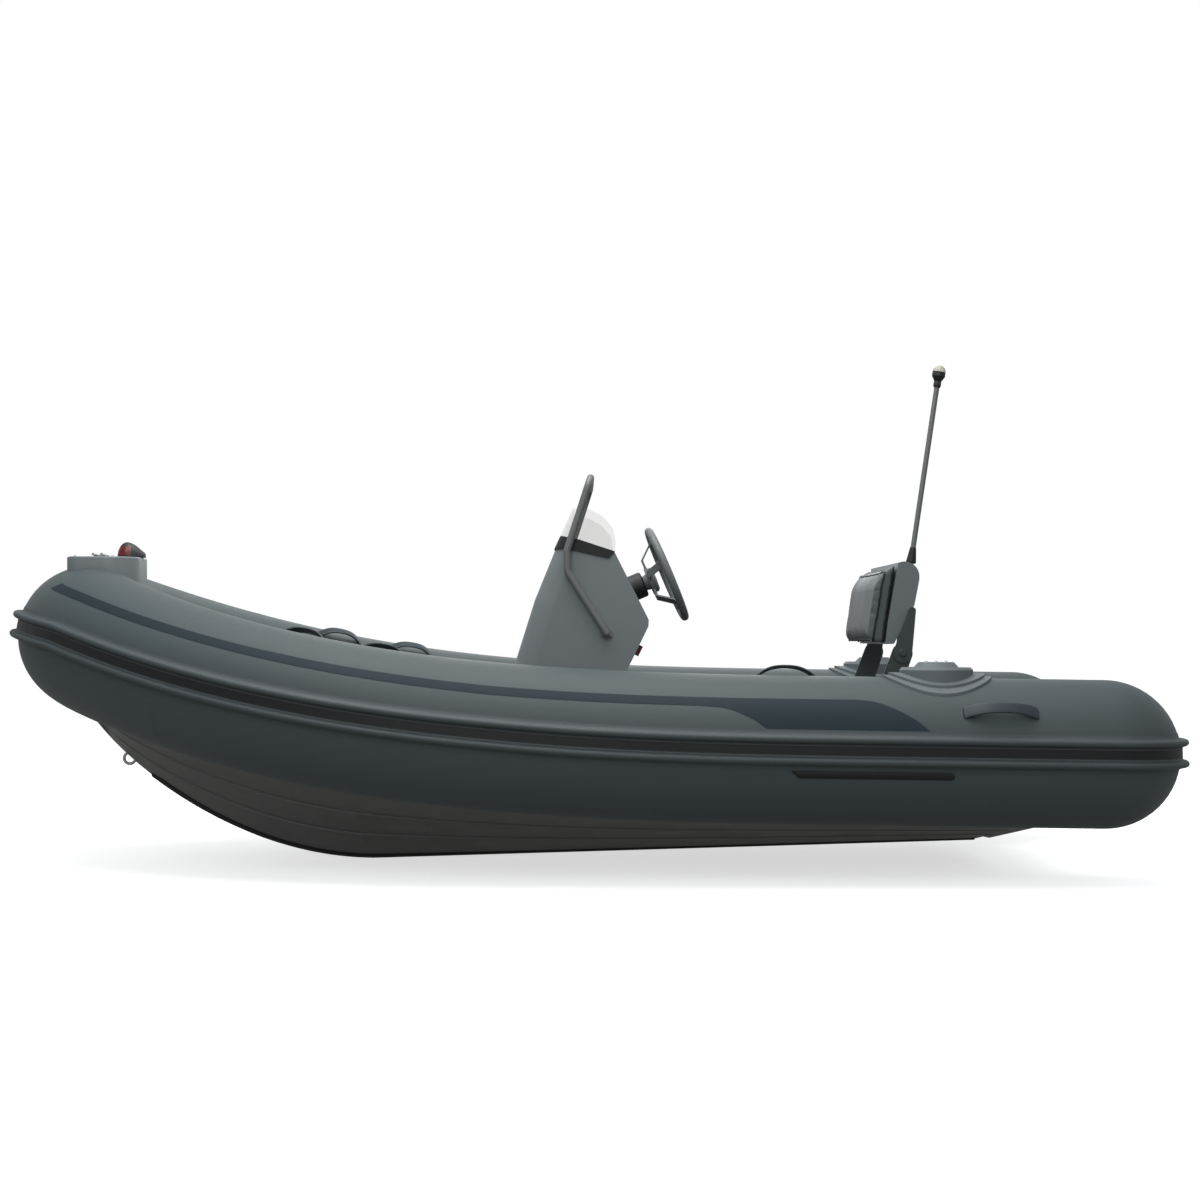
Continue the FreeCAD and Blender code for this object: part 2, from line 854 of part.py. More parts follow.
def locker_hinges():
    """Two cheeks on the locker, each with a pin in the end of the lid's hinge edge."""
    centre = hinge_centre()
    thickness = dim("hinge_cheek")
    reach = hinge_radius() + 2.0
    gap = dim("seat_gap")
    solids = []
    for side in (1, -1):
        inner = side * (dim("locker_lid_width") / 2.0 + 2.0 * gap)
        out = Vector(0, side, 0)
        foot = Part.makeBox(2.0 * reach, thickness, centre.z - dim("locker_top") - gap,
                            Vector(centre.x - reach, min(inner, inner + side * thickness), dim("locker_top") + gap))
        eye = Part.makeCylinder(reach, thickness, Vector(centre.x, inner, centre.z), out)
        eye = eye.cut(Part.makeBox(4.0 * reach, 4.0 * thickness, reach,
                                   Vector(centre.x - 2.0 * reach, inner - 2.0 * thickness,
                                          dim("locker_top") + gap - reach)))
        pin = Part.makeCylinder(dim("hinge_pin_radius"), dim("hinge_pin_length"),
                                Vector(centre.x, inner + side * thickness / 2.0, centre.z), out * -1)
        solids.append(foot.fuse(eye).fuse(pin))
    return Part.makeCompound(solids)


feature("locker_hinges", locker_hinges())


# Console
CONSOLE_PROFILE = (
    # forward foot, then up the raked front to the top
    (354, None), (189, 531), (124, 738), (49, 922), (32, 959),
    # along the sloping top, down the dash and back to the knee
    (-153, 901), (-270, 669), (-269, 646), (-195, 495), (-132, 365),
)


def console_points():
    """The console's side profile, standing on the sole."""
    foot = dim("sole_height") + dim("seat_gap")
    points = [(x, foot if z is None else z) for x, z in CONSOLE_PROFILE]
    return points + [(points[-1][0], foot)]


def console():
    """The steering console: a moulded housing with rounded upright corners."""
    body = new_body("console")
    points = console_points()
    sketch = draw(sketch_on(body, "ConsoleSide", "XZ_Plane"), points[0], points[1:])
    shell = pad(body, "ConsolePad", sketch, "2 * console_half_width")
    DOC.recompute()
    front = points[:4]

    def along_front(first, second):
        ends = [(first.x, first.z), (second.x, second.z)]
        return abs(first.y - second.y) < 0.01 and all(
            any(math.dist(end, point) < 0.1 for point in front) for end in ends
        )

    round_edges(body, shell, "ConsoleCorners", edges_where(shell.Shape, along_front), dim("console_corner"))
    return keep(body, "console")


console()


def closed_wire(points, at):
    """A closed wire from an outline like the sketches' ones; at turns a pair of numbers into a point."""
    first = here = at(*points[0])
    edges = []
    for step in points[1:]:
        there = at(*step[-2:])
        if len(step) == 2:
            edges.append(Part.LineSegment(here, there).toShape())
        else:
            edges.append(Part.Arc(here, at(*step[:2]), there).toShape())
        here = there
    if here.distanceToPoint(first) > 0.001:
        edges.append(Part.LineSegment(here, first).toShape())
    return Part.Wire(edges)


def screen_plan(half, front, back, corner):
    """A U-shaped plan round the front of the console, closed aft."""
    turn = corner * (1.0 - math.sqrt(0.5))
    return [
        (back, -half),
        (front - corner, -half),
        (front - turn, -half + turn, front, -half + corner),
        (front, half - corner),
        (front - turn, half - turn, front - corner, half),
        (back, half),
    ]


def leaning_block(half, front, back, corner, heights, lean):
    """A block with the U-shaped plan that leans aft as it rises."""
    wires = []
    for z in heights:
        shift = -lean * (z - heights[0])
        wires.append(closed_wire(screen_plan(half, front, back, corner), lambda x, y: Vector(x + shift, y, z)))
    return Part.makeLoft(wires, True, True)


def side_prism(points, half):
    """A block with the given side profile, reaching half to each side."""
    outline = [Vector(x, -half, z) for x, z in points]
    return Part.Face(Part.makePolygon(outline + [outline[0]])).extrude(Vector(0, 2.0 * half, 0))


def console_wrap(profile, wall):
    """A wall of even thickness wrapped round the console, in line with its raked front, cut to a side profile."""
    (low_x, low_z), (high_x, high_z) = CONSOLE_PROFILE[3:5]
    lean = (low_x - high_x) / (high_z - low_z)
    heights = [min(z for x, z in profile) - 1.0, max(z for x, z in profile) + 1.0]
    inner = dim("console_half_width") + dim("seat_gap")
    skin = math.hypot(1.0, lean)
    front = low_x + lean * (low_z - heights[0]) + dim("seat_gap") * skin
    back = min(x for x, z in profile) - wall
    corner = dim("console_corner")
    outside = leaning_block(inner + wall, front + wall * skin, back, corner + wall, heights, lean)
    inside = leaning_block(inner, front, back - dim("console_half_width"), corner, heights, lean)
    return outside.cut(inside).common(side_prism(profile, inner + 2.0 * wall))


SCREEN_PROFILE = (
    # aft along the foot, then up the wing's rounded aft edge and forward along the top
    (80, 960), (31, 960), (-32, 945.4), (-154.4, 905), (-155, 943), (-147, 983), (-112, 1025), (-63, 1051),
    (-10, 1056), (80, 1056),
)
GASKET_PROFILE = (
    # aft along the lower edge, forward along the upper one
    (80, 915), (24, 915), (-132, 880), (-154.4, 904.6), (-32, 945), (31, 959.6), (80, 959.6),
)


feature("windscreen", console_wrap(SCREEN_PROFILE, dim("screen_thickness")))
feature("windscreen_gasket", console_wrap(GASKET_PROFILE, dim("gasket_thickness")))


# Handrail
RAIL_PROFILE = ((-124, 622), (-56, 727), (10, 832), (12, 905), (-70, 1160))


def rounded_path(points, radius):
    """Straight runs joined by tangent arcs of one radius."""
    edges = []
    here = points[0]
    for before, corner, after in zip(points, points[1:], points[2:]):
        back = (before - corner).normalize()
        ahead = (after - corner).normalize()
        half = back.getAngle(ahead) / 2.0
        reach = radius / math.tan(half)
        start = corner + back * reach
        end = corner + ahead * reach
        bisector = (back + ahead).normalize()
        middle = corner + bisector * (radius / math.sin(half) - radius)
        edges.append(Part.LineSegment(here, start).toShape())
        edges.append(Part.Arc(start, middle, end).toShape())
        here = end
    edges.append(Part.LineSegment(here, points[-1]).toShape())
    return Part.Wire(edges)


def tube_along(path, radius):
    """A round bar along a path."""
    first = path.Edges[0]
    start = first.FirstParameter
    circle = Part.Wire([Part.makeCircle(radius, first.valueAt(start), first.tangentAt(start))])
    return path.makePipeShell([circle], True, False)


def handrail():
    """One bent tube: up one side of the console, over the screen and down the other side."""
    side = dim("console_half_width") + dim("handrail_offset")
    port = [Vector(x, side, z) for x, z in RAIL_PROFILE]
    starboard = [Vector(point.x, -point.y, point.z) for point in reversed(port)]
    bar = tube_along(rounded_path(port + starboard, dim("handrail_bend")), dim("handrail_radius"))
    wall = dim("console_half_width") + dim("seat_gap")
    for direction in (1, -1):
        foot = Vector(RAIL_PROFILE[0][0], direction * wall, RAIL_PROFILE[0][1])
        out = Vector(0, direction, 0)
        bar = bar.fuse(Part.makeCylinder(dim("handrail_radius"), side - wall, foot, out))
        flange = dim("handrail_radius") + dim("handrail_flange_width")
        bar = bar.fuse(Part.makeCylinder(flange, dim("handrail_flange_thickness"), foot, out))
        bar = bar.fuse(Part.makeSphere(dim("handrail_radius"), Vector(foot.x, direction * side, foot.z)))
    return bar


feature("handrail", handrail())


# Steering
def wheel_axis():
    """The steering axis, which points up and aft at the helm."""
    lean = math.radians(dim("wheel_tilt"))
    return Vector(-math.cos(lean), 0, math.sin(lean))


def wheel_placement():
    """The wheel's own frame: z along the axis, towards the helm's seat."""
    axis = wheel_axis()
    up = Vector(0, 1, 0).cross(axis)
    centre = Vector(dim("wheel_x"), 0, dim("wheel_height"))
    return Placement(centre, Rotation(up, axis.cross(up), axis, "ZXY"))


def steering_wheel():
    """A round grip on flat spokes that dish forward to the hub."""
    body = new_body("steering_wheel")
    sketch = sketch_on(body, "WheelSection", "XZ_Plane")
    rim = dim("wheel_radius")
    grip = dim("wheel_grip_radius")
    hub = dim("hub_radius")
    floor = -dim("wheel_dish")
    face = -dim("helm_distance") + dim("seat_gap")
    boss = dim("boss_radius")
    middle = rim - grip
    draw(sketch, (middle - grip, 0), [(middle, -grip, middle + grip, 0), (middle, grip, middle - grip, 0)])
    rim_turn = body.newObject("PartDesign::Revolution", "RimTurn")
    rim_turn.Profile = sketch
    rim_turn.ReferenceAxis = (sketch, ["V_Axis"])
    rim_turn.Angle = 360.0
    sketch.Visibility = False

    side = sketch_on(body, "SpokeSide", "XZ_Plane")
    draw(side, (hub - 8.0, floor - 4.0), [
        (hub + 30.0, floor - 4.0),
        (middle - 40.0, -14.0),
        (middle - 4.0, -5.0),
        (middle - 4.0, 1.0),
        (middle - 42.0, -7.0),
        (hub + 28.0, floor + 3.0),
        (hub - 8.0, floor + 3.0),
        (hub - 8.0, floor - 4.0),
    ])
    spoke = pad(body, "Spoke", side, "spoke_width")
    DOC.recompute()
    spokes = body.newObject("PartDesign::PolarPattern", "Spokes")
    spokes.Originals = [spoke]
    spokes.Axis = (side, ["V_Axis"])
    spokes.Angle = 360.0
    spokes.setExpression("Occurrences", cell("spoke_count"))
    body.Tip = spokes
    DOC.recompute()

    core = sketch_on(body, "HubSection", "XZ_Plane")
    draw(core, (0, face), [(boss, face), (boss + 3.0, floor - 7.0), (hub, floor - 7.0), (hub, floor + 5.0),
                           (0, floor + 5.0), (0, face)])
    hub_turn = body.newObject("PartDesign::Revolution", "HubTurn")
    hub_turn.Profile = core
    hub_turn.ReferenceAxis = (core, ["V_Axis"])
    hub_turn.Angle = 360.0
    core.Visibility = False
    body.Tip = hub_turn
    body.Placement = wheel_placement()
    return keep(body, "steering_wheel")


steering_wheel()


def turned(profile, placement):
    """A solid of revolution about the z axis of a placement, from (radius, height) points."""
    points = [Vector(radius, 0, height) for radius, height in profile]
    face = Part.Face(Part.makePolygon(points + [points[0]]))
    solid = face.revolve(Vector(0, 0, 0), Vector(0, 0, 1), 360)
    solid.Placement = placement.multiply(solid.Placement)
    return solid


def wheel_cap():
    """The round cap on the middle of the wheel."""
    inset = dim("wheel_cap_inset")
    base = -dim("wheel_dish") + inset
    radius = dim("hub_radius") - inset
    profile = [(0, base), (radius, base), (radius, base + 9.0), (radius - 7.0, base + 15.0), (0, base + 18.0)]
    return turned(profile, wheel_placement())


feature("wheel_cap", wheel_cap())


def helm_bezel():
    """The round housing on the dash that carries the wheel."""
    face = -dim("helm_distance")
    back = 2.5 * face
    wide = dim("bezel_radius")
    edge = dim("wheel_cap_inset")
    profile = [(0, back), (wide, back), (wide, face - edge), (wide - edge, face), (0, face)]
    return turned(profile, wheel_placement()).cut(side_prism(console_points(), dim("console_half_width")))


feature("helm_bezel", helm_bezel())


def stop_switch():
    """A small switch panel on the console's lower aft face."""
    (high_x, high_z), (low_x, low_z) = CONSOLE_PROFILE[7:9]
    low = Vector(low_x, 0, low_z)
    up = (Vector(high_x, 0, high_z) - low).normalize()
    out = Vector(-up.z, 0, up.x)
    width = dim("switch_width")
    block = Part.makeBox(dim("switch_length"), width, dim("switch_depth"), Vector(0, -width / 2.0, dim("seat_gap")))
    corner = low + up * dim("switch_up") + Vector(0, dim("switch_across"), 0)
    block.Placement = Placement(corner, Rotation(up, Vector(0, 1, 0), out, "ZXY"))
    return block


feature("stop_switch", stop_switch())


# Helm seat
def moulded_box(name, plan, low, height, corner, edge):
    """A moulded box with rounded upright corners and a rounded top edge."""
    body = new_body(name)
    sketch = sketch_on(body, name + "_plan", "XY_Plane", low)
    draw(sketch, plan[0], plan[1:] + [plan[0]])
    block = pad(body, name + "_pad", sketch, height, False)
    DOC.recompute()
    upright = edges_where(block.Shape, lambda first, second: abs(first.z - second.z) > 1.0)
    corners = round_edges(body, block, name + "_corners", upright, corner)
    DOC.recompute()
    top = corners.Shape.BoundBox.ZMax
    rim = edges_where(corners.Shape, lambda first, second: min(first.z, second.z) > top - 0.01)
    round_edges(body, corners, name + "_edge", rim, edge)
    return keep(body, name)


def seat_box():
    """The moulded seat base, which carries the backrest's plates on its sides."""
    front = dim("seat_front_x")
    back = dim("seat_back_x")
    half = dim("seat_half_width")
    plan = [(front, -half), (front, half), (back, half), (back, -half)]
    low = dim("sole_height") + dim("seat_gap")
    return moulded_box("seat_box", plan, low, "seat_height - sole_height", dim("seat_corner"), dim("seat_edge"))


def seat_cushion():
    """The seat cushion on top of the box."""
    front = dim("seat_front_x") - dim("cushion_front_inset")
    back = dim("cushion_back_x")
    half = dim("seat_half_width") - dim("cushion_side_inset")
    plan = [(front, -half), (front, half), (back, half), (back, -half)]
    low = dim("seat_height") + 2.0 * dim("seat_gap")
    return moulded_box("seat_cushion", plan, low, "seat_cushion_thickness", dim("cushion_corner"), dim("cushion_edge"))


seat_box()
seat_cushion()


def arc_hull(first, first_radius, second, second_radius):
    """The outline of a plate that tapers from one round end to another, in the xz plane."""
    dx = second[0] - first[0]
    dz = second[1] - first[1]
    length = math.hypot(dx, dz)
    heading = math.atan2(dz, dx)
    spread = math.acos((first_radius - second_radius) / length)

    def rim(centre, radius, angle):
        return centre[0] + radius * math.cos(angle), centre[1] + radius * math.sin(angle)

    left = heading + spread
    right = heading - spread
    start = rim(first, first_radius, right)
    return start, [
        rim(second, second_radius, right),
        rim(second, second_radius, heading) + rim(second, second_radius, left),
        rim(first, first_radius, left),
        rim(first, first_radius, heading + math.pi) + start,
    ]


def plate(name, start, steps, inner, side):
    """A flat plate in the xz plane, its inner face at a distance from the centreline."""
    body = new_body(name)
    outer = inner + dim("plate_thickness") / 2.0
    sketch = sketch_on(body, name + "_side", "XZ_Plane", -side * outer)
    draw(sketch, start, steps)
    pad(body, name + "_pad", sketch, "plate_thickness")
    return keep(body, name)


def seat_plates():
    """The fixed plates on the seat box, with round ears at the backrest's pivot."""
    pivot = (dim("pivot_x"), dim("pivot_height"))
    foot = (dim("pivot_x") + dim("plate_foot_ahead"), dim("seat_height") - dim("plate_foot_drop"))
    start, steps = arc_hull(foot, dim("plate_foot_radius"), pivot, dim("pivot_ear_radius"))
    for name, side in (("port", 1), ("starboard", -1)):
        plate("seat_plate_" + name, start, steps, dim("seat_half_width") + dim("seat_gap"), side)


seat_plates()


def arm_plane():
    """Distance of the moving arms' inner faces from the centreline."""
    return dim("seat_half_width") + dim("seat_gap") + dim("plate_thickness") + dim("plate_gap")


ARM_TIP = (-1168, 700)


def backrest_arms():
    """The arms that swing the backrest about the ears."""
    pivot = (dim("pivot_x"), dim("pivot_height"))
    start, steps = arc_hull(pivot, dim("arm_ear_radius"), ARM_TIP, dim("arm_tip_radius"))
    for name, side in (("port", 1), ("starboard", -1)):
        plate("backrest_arm_" + name, start, steps, arm_plane(), side)


backrest_arms()

BACKREST_PROFILE = (
    # up the front, over the rounded top, down the back
    (-1023, 606), (-1029, 651), (-1050, 776), (-1078, 829, -1122, 863), (-1172, 861, -1196, 820), (-1196, 806),
    (-1179, 719), (-1109, 586),
    # under the lower edge to the front again
    (-1052, 584), (-1032, 590, -1023, 606),
)
SHELL_SPLIT = ((-1081, 600), (-1087, 651), (-1123, 862))


def backrest_block():
    """The whole backrest: upright front, round top, sloping back."""
    half = dim("backrest_half_width")
    face = Part.Face(closed_wire(BACKREST_PROFILE, lambda x, z: Vector(x, -half, z)))
    return face.extrude(Vector(0, 2.0 * half, 0))


def behind_split(gap):
    """Everything aft of the seam between the cushion and the shell."""
    points = [(x - gap, z) for x, z in SHELL_SPLIT]
    lowest = points[0][1] - dim("seat_cushion_thickness")
    highest = points[-1][1] + dim("seat_cushion_thickness")
    aft = points[-1][0] - dim("pivot_ear_radius") * 4.0
    points = [(points[0][0], lowest)] + points + [(points[-1][0], highest), (aft, highest), (aft, lowest)]
    return side_prism(points, 2.0 * dim("backrest_half_width"))


def backrest():
    """The backrest: a cushion in front of a moulded shell, with a boss for each arm."""
    cushion = backrest_block().cut(behind_split(0.0))
    shell = backrest_block().common(behind_split(dim("seat_gap")))
    radius = dim("arm_boss_radius")
    inside = dim("backrest_half_width") - radius
    for side in (1, -1):
        start = Vector(ARM_TIP[0], side * inside, ARM_TIP[1])
        shell = shell.fuse(Part.makeCylinder(radius, arm_plane() - inside, start, Vector(0, side, 0)))
    return cushion, shell


CUSHION, SHELL = backrest()
feature("backrest_cushion", CUSHION)
feature("backrest_shell", SHELL)


# Light pole
def pole_placement(height):
    """A frame on the leaning pole's axis at a height."""
    lean = math.radians(dim("pole_lean"))
    x = dim("pole_foot_x") - math.tan(lean) * (height - dim("seat_height"))
    return Placement(Vector(x, 0, height), Rotation(Vector(0, 1, 0), -dim("pole_lean")))


def pole_length(low, high):
    """Length along the pole between two heights."""
    return (high - low) / math.cos(math.radians(dim("pole_lean")))


def pole_piece(label, low, high):
    """A straight length of the pole between two heights."""
    stem = pole_length(low, high)
    thin = dim("pole_radius")
    feature(label, turned([(0, 0), (thin, 0), (thin, stem), (0, stem)], pole_placement(low)))


def light_pole():
    """The stanchion behind the seat, its socket, the pole and the all-round light."""
    foot = dim("seat_height") + 2.0 * dim("seat_gap")
    wide = dim("stanchion_base_radius")
    tall = dim("stanchion_base_height")
    neck = wide - tall / 2.0
    profile = [(0, -wide / 2.0), (wide, -wide / 2.0), (wide, 5.0), (neck, 12.0), (neck, tall), (0, tall)]
    below = Part.makeBox(8.0 * wide, 8.0 * wide, 2.0 * wide, Vector(dim("pole_foot_x") - 4.0 * wide, -4.0 * wide,
                                                                   foot - 2.0 * wide))
    feature("stanchion_base", turned(profile, pole_placement(foot)).cut(below))
    collar_low = dim("pole_collar_height")
    collar_high = collar_low + dim("pole_collar_length")
    pole_piece("light_stanchion", foot + tall * math.cos(math.radians(dim("pole_lean"))), collar_low)
    height = pole_length(collar_low, collar_high)
    feature("pole_collar", turned([(0, 0), (17, 0), (18, 6), (11, height), (0, height)], pole_placement(collar_low)))
    top = dim("pole_top")
    pole_piece("light_pole", collar_high, top)
    globe = dim("globe_radius")
    seat = dim("globe_seat")
    neck = [(0, 0), (12, 0), (14, 8), (13, 22), (globe, seat - dim("globe_cup")), (globe, seat), (0, seat)]
    feature("light_base", turned(neck, pole_placement(top)))
    dome = [(globe * math.cos(math.radians(a)), seat + globe * math.sin(math.radians(a))) for a in (0, 20, 40, 60, 75)]
    feature("light_lens", turned([(0, seat)] + dome + [(0, seat + globe)], pole_placement(top)))


light_pole()


# Step pads on the side tubes
def oval_prism(centre, along, across):
    """A tall upright block with an oval plan, longer along the boat than across it."""
    oval = Part.Ellipse(centre, along, across).toShape()
    return Part.Face(Part.Wire([oval])).extrude(Vector(0, 0, 4.0 * along))


def step_pad(side):
    """A stepped pad seated over the top of the tube: an oval flange under two round tiers."""
    x = dim("pad_x")
    station = side_station(x, side)
    crest = station.centre.z + station.radius
    tier = dim("pad_tier_radius")
    cap = dim("pad_cap_radius")
    top = dim("pad_height")
    pad_shape = None
    for thickness, inset in (("pad_base_thickness", 0.0), ("pad_ring_thickness", dim("pad_ring_step"))):
        oval = oval_prism(station.centre, dim("pad_base_radius") - inset, dim("pad_base_across") - inset)
        layer = straight_tube(side, x, dim(thickness)).common(oval)
        pad_shape = pad_shape.fuse(layer) if pad_shape else layer
    place = Placement(Vector(x, station.centre.y, crest), Rotation())
    stack = turned([(0, -60), (tier, -60), (tier, top * 0.5), (tier - 8.0, top * 0.66), (cap, top * 0.66),
                    (cap - 16.0, top), (0, top)], place)
    return pad_shape.fuse(stack).cut(straight_tube(side, x, dim("seat_gap")))


feature("step_pad_port", step_pad(1))
feature("step_pad_starboard", step_pad(-1))


# Grab handles
def grab_handle(station, angle, length):
    """A moulded strap handle on the tube: two feet and an arched grip."""
    out = station.normal(angle)
    along = station.along
    across = out.cross(along)
    origin = station.point(angle, station.radius)
    place = Placement(origin, Rotation(along, across, out, "ZXY"))
    half = length / 2.0
    width = dim("handle_width") / 2.0
    rise = dim("handle_height")
    foot = dim("handle_foot")
    strap = dim("handle_strap")
    slope = 22.0
    outer = [(-half, -12), (-half, strap), (-half + foot, strap + 3), (-half + foot + slope, rise)]
    outer += [(-x, z) for x, z in reversed(outer)]
    inner = [(-half + foot + 6, -20), (-half + foot + 6, 4), (-half + foot + slope + 4, rise - strap)]
    inner += [(-x, z) for x, z in reversed(inner)]
    shapes = []
    for points, reach in ((outer, width), (inner, width + 5.0)):
        outline = [Vector(x, -reach, z) for x, z in points]
        block = Part.Face(Part.makePolygon(outline + [outline[0]])).extrude(Vector(0, 2.0 * reach, 0))
        shapes.append(block)
    handle = shapes[0].cut(shapes[1])
    handle.Placement = place
    return handle


def turn_at(x):
    """The turn of the side arc's section whose centre stands at x."""
    return math.degrees(math.acos((x - dim("entry_start_x")) / side_arc_radius()))


def station_at(x, side):
    """The collar's section at x, on the straight side or on the side arc."""
    if x <= dim("entry_start_x"):
        return side_station(x, side)
    return bow_station(side * turn_at(x))


HANDLES = (
    # place of the middle, angle round the tube, length
    (965.0, 118.0, 165.0),
    (675.0, 118.0, 165.0),
    (-1355.0, 34.0, 235.0),
)
PORT_HANDLE = (-700.0, 102.0, 190.0)


def handles(side):
    """All the grab handles of one side; the port side has one more, beside the helm seat."""
    tube = PORT_TUBE if side > 0 else STARBOARD_TUBE
    places = HANDLES + (PORT_HANDLE,) if side > 0 else HANDLES
    return Part.makeCompound([grab_handle(station_at(x, side), angle, length).cut(tube) for x, angle, length in places])


feature("grab_handles_port", handles(1))
feature("grab_handles_starboard", handles(-1))


def chafe_strip(side):
    """The thin strip low on the outside of the tube, under the stern handle."""
    x = dim("strip_x")
    length = dim("strip_length")
    height = dim("strip_height")
    station = side_station(x, side)
    middle = station.point(dim("strip_angle"), station.radius)
    deep = 4.0 * height
    window = Part.makeBox(length, deep, height, Vector(x - length / 2.0, middle.y - deep / 2.0, middle.z - height / 2.0))
    strip = straight_tube(side, x, dim("strip_thickness")).common(window)
    return strip.cut(straight_tube(side, x, dim("seat_gap")))


feature("chafe_strip_port", chafe_strip(1))
feature("chafe_strip_starboard", chafe_strip(-1))


# Bow fittings
def nose_ring(grow):
    """The nose of the collar as a tilted ring, close to the tube's own surface."""
    nose = dim("nose_arc_radius")
    x = dim("bow_centre_x")
    slope = math.degrees(math.atan(tube_slope(x) * 0.9))
    ring = Part.makeTorus(nose, dim("bow_tube_radius") + grow)
    lean = Rotation(Vector(0, 1, 0), -slope)
    centre = Vector(x, 0, tube_height(x)) - lean.multVec(Vector(nose, 0, 0))
    ring.Placement = Placement(centre, lean)
    return ring


def bow_step():
    """The moulded step over the bow tube, with rounded corners."""
    x = dim("bow_step_x")
    half = dim("bow_step_width") / 2.0
    top = dim("bow_step_top")
    depth = dim("bow_step_skirt")
    block = Part.makeBox(dim("bow_step_length"), 2.0 * half, depth, Vector(x, -half, top - depth))
    upright = [edge for edge in block.Edges if abs(edge.Vertexes[0].Z - edge.Vertexes[1].Z) > 1.0]
    block = block.makeFillet(dim("bow_step_corner"), upright)
    rim = [edge for edge in block.Edges if min(vertex.Z for vertex in edge.Vertexes) > top - 0.01]
    block = block.makeFillet(dim("bow_step_edge"), rim)
    return block.cut(nose_ring(dim("seat_gap")))


feature("bow_step", bow_step())


def bow_cleat():
    """A low cleat on the bow step: two bars athwart, joined by a saddle, on a flat base."""
    x = dim("cleat_x")
    low = dim("bow_step_top") + dim("seat_gap")
    half = dim("cleat_horn_spacing") / 2.0
    thick = dim("cleat_horn_radius")
    length = dim("cleat_horn_length")
    high = dim("cleat_height") - thick
    wide = 3.0 * thick
    cleat = Part.makeBox(2.0 * (half + thick), 2.0 * wide, high, Vector(x - half - thick, -wide, low))
    for side in (1, -1):
        bar = Part.makeCylinder(thick, length, Vector(x + side * half, -length / 2.0, low + high), Vector(0, 1, 0))
        cleat = cleat.fuse(bar)
    return cleat


feature("bow_cleat", bow_cleat())


NAV_LIGHT_SECTIONS = (
    # place, half width and height of each section, from the blunt front to the tail
    (1618, 22, 34),
    (1606, 31, 50),
    (1588, 34, 56),
    (1562, 29, 46),
    (1540, 19, 28),
    (1525, 12, 16),
)


def nav_light():
    """The teardrop bow light, high forward and tapering aft."""
    low = dim("bow_step_top") + dim("seat_gap")
    wires = []
    for x, half, height in NAV_LIGHT_SECTIONS:
        points = [Vector(x, half * math.cos(math.radians(a)), low + height * math.sin(math.radians(a)))
                  for a in (0, 30, 60, 90, 120, 150, 180)]
        wires.append(Part.makePolygon(points + [points[0]]))
    return Part.makeLoft(wires, True, True)


feature("nav_light", nav_light())


def bow_eye():
    """The towing eye on the stem: a ring let into the hull along the keel."""
    x = dim("stem_x") - dim("eye_setback")
    centre = Vector(x, 0, keel_height(x) - dim("eye_drop"))
    ring = Part.makeTorus(dim("eye_ring_radius"), dim("eye_wire_radius"), centre, Vector(0, 1, 0))
    return ring.cut(HULL).cut(KEEL_GUARD)


feature("bow_eye", bow_eye())


# Stern fittings
def on_transom(across, height):
    """A point on the transom's aft face, at a height up the board, and the way out of the face."""
    place = Placement(Vector(transom_x(), 0, keel_height(transom_x())),
                      Rotation(Vector(0, 1, 0), -dim("transom_rake")))
    return place.multVec(Vector(0, across, height)), place.Rotation.multVec(Vector(-1, 0, 0))


def stern_eyes():
    """Two towing eyes on the transom's aft face: a plate and a standing ring."""
    ring_radius = dim("stern_eye_radius")
    wire = dim("stern_eye_wire")
    eyes = []
    for side in (1, -1):
        foot, out = on_transom(side * dim("stern_eye_across"), dim("stern_eye_up"))
        foot += out * dim("seat_gap")
        disc = Part.makeCylinder(dim("stern_eye_plate"), wire, foot, out)
        ring = Part.makeTorus(ring_radius, wire, foot + out * (ring_radius + wire / 2.0), Vector(0, 1, 0))
        behind = Part.makeCylinder(4.0 * ring_radius, 4.0 * ring_radius, foot, out * -1)
        eyes.append(ring.cut(behind).fuse(disc))
    return Part.makeCompound(eyes)


feature("stern_eyes", stern_eyes())


def drain_fitting():
    """The round drain and its cap, low on the transom."""
    foot, out = on_transom(dim("drain_across"), dim("drain_up"))
    foot += out * dim("seat_gap")
    radius = dim("drain_radius")
    return Part.makeCylinder(radius, 4, foot, out).fuse(Part.makeCylinder(0.6 * radius, radius / 2.0, foot, out))


feature("drain_fitting", drain_fitting())


def inflation_valves():
    """A round air valve on the inner side of each side tube."""
    radius = dim("valve_radius")
    solids = []
    for side in (1, -1):
        station = side_station(dim("valve_x"), side)
        out = station.normal(dim("valve_angle"))
        foot = station.point(dim("valve_angle"), station.radius) + out * dim("seat_gap")
        rim = Part.makeCylinder(radius, 5, foot, out)
        solids.append(rim.fuse(Part.makeCylinder(radius * 2.0 / 3.0, 9, foot, out)))
    return Part.makeCompound(solids)


feature("inflation_valves", inflation_valves())


DOC.recompute()


def check_document():
    """Stop before writing anything if an object or a shape has failed."""
    for item in DOC.Objects:
        if "Invalid" in item.State or "Error" in item.State:
            raise RuntimeError(item.Label + " failed")
    for piece in PIECES:
        if piece.Shape.isNull() or not piece.Shape.isValid() or not piece.Shape.Solids:
            raise RuntimeError(piece.Label + " has no valid solid")


def export():
    """Write each sub-part to its own file."""
    os.makedirs("parts", exist_ok=True)
    for piece in PIECES:
        piece.Shape.exportStep("parts/" + piece.Label + ".step")


check_document()
export()
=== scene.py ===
"""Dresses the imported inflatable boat: fabric collar, rails, hull, padding, fittings and a plain studio.

Metres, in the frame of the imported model: +X is forward, +Y is port, +Z is up.
"""
import math

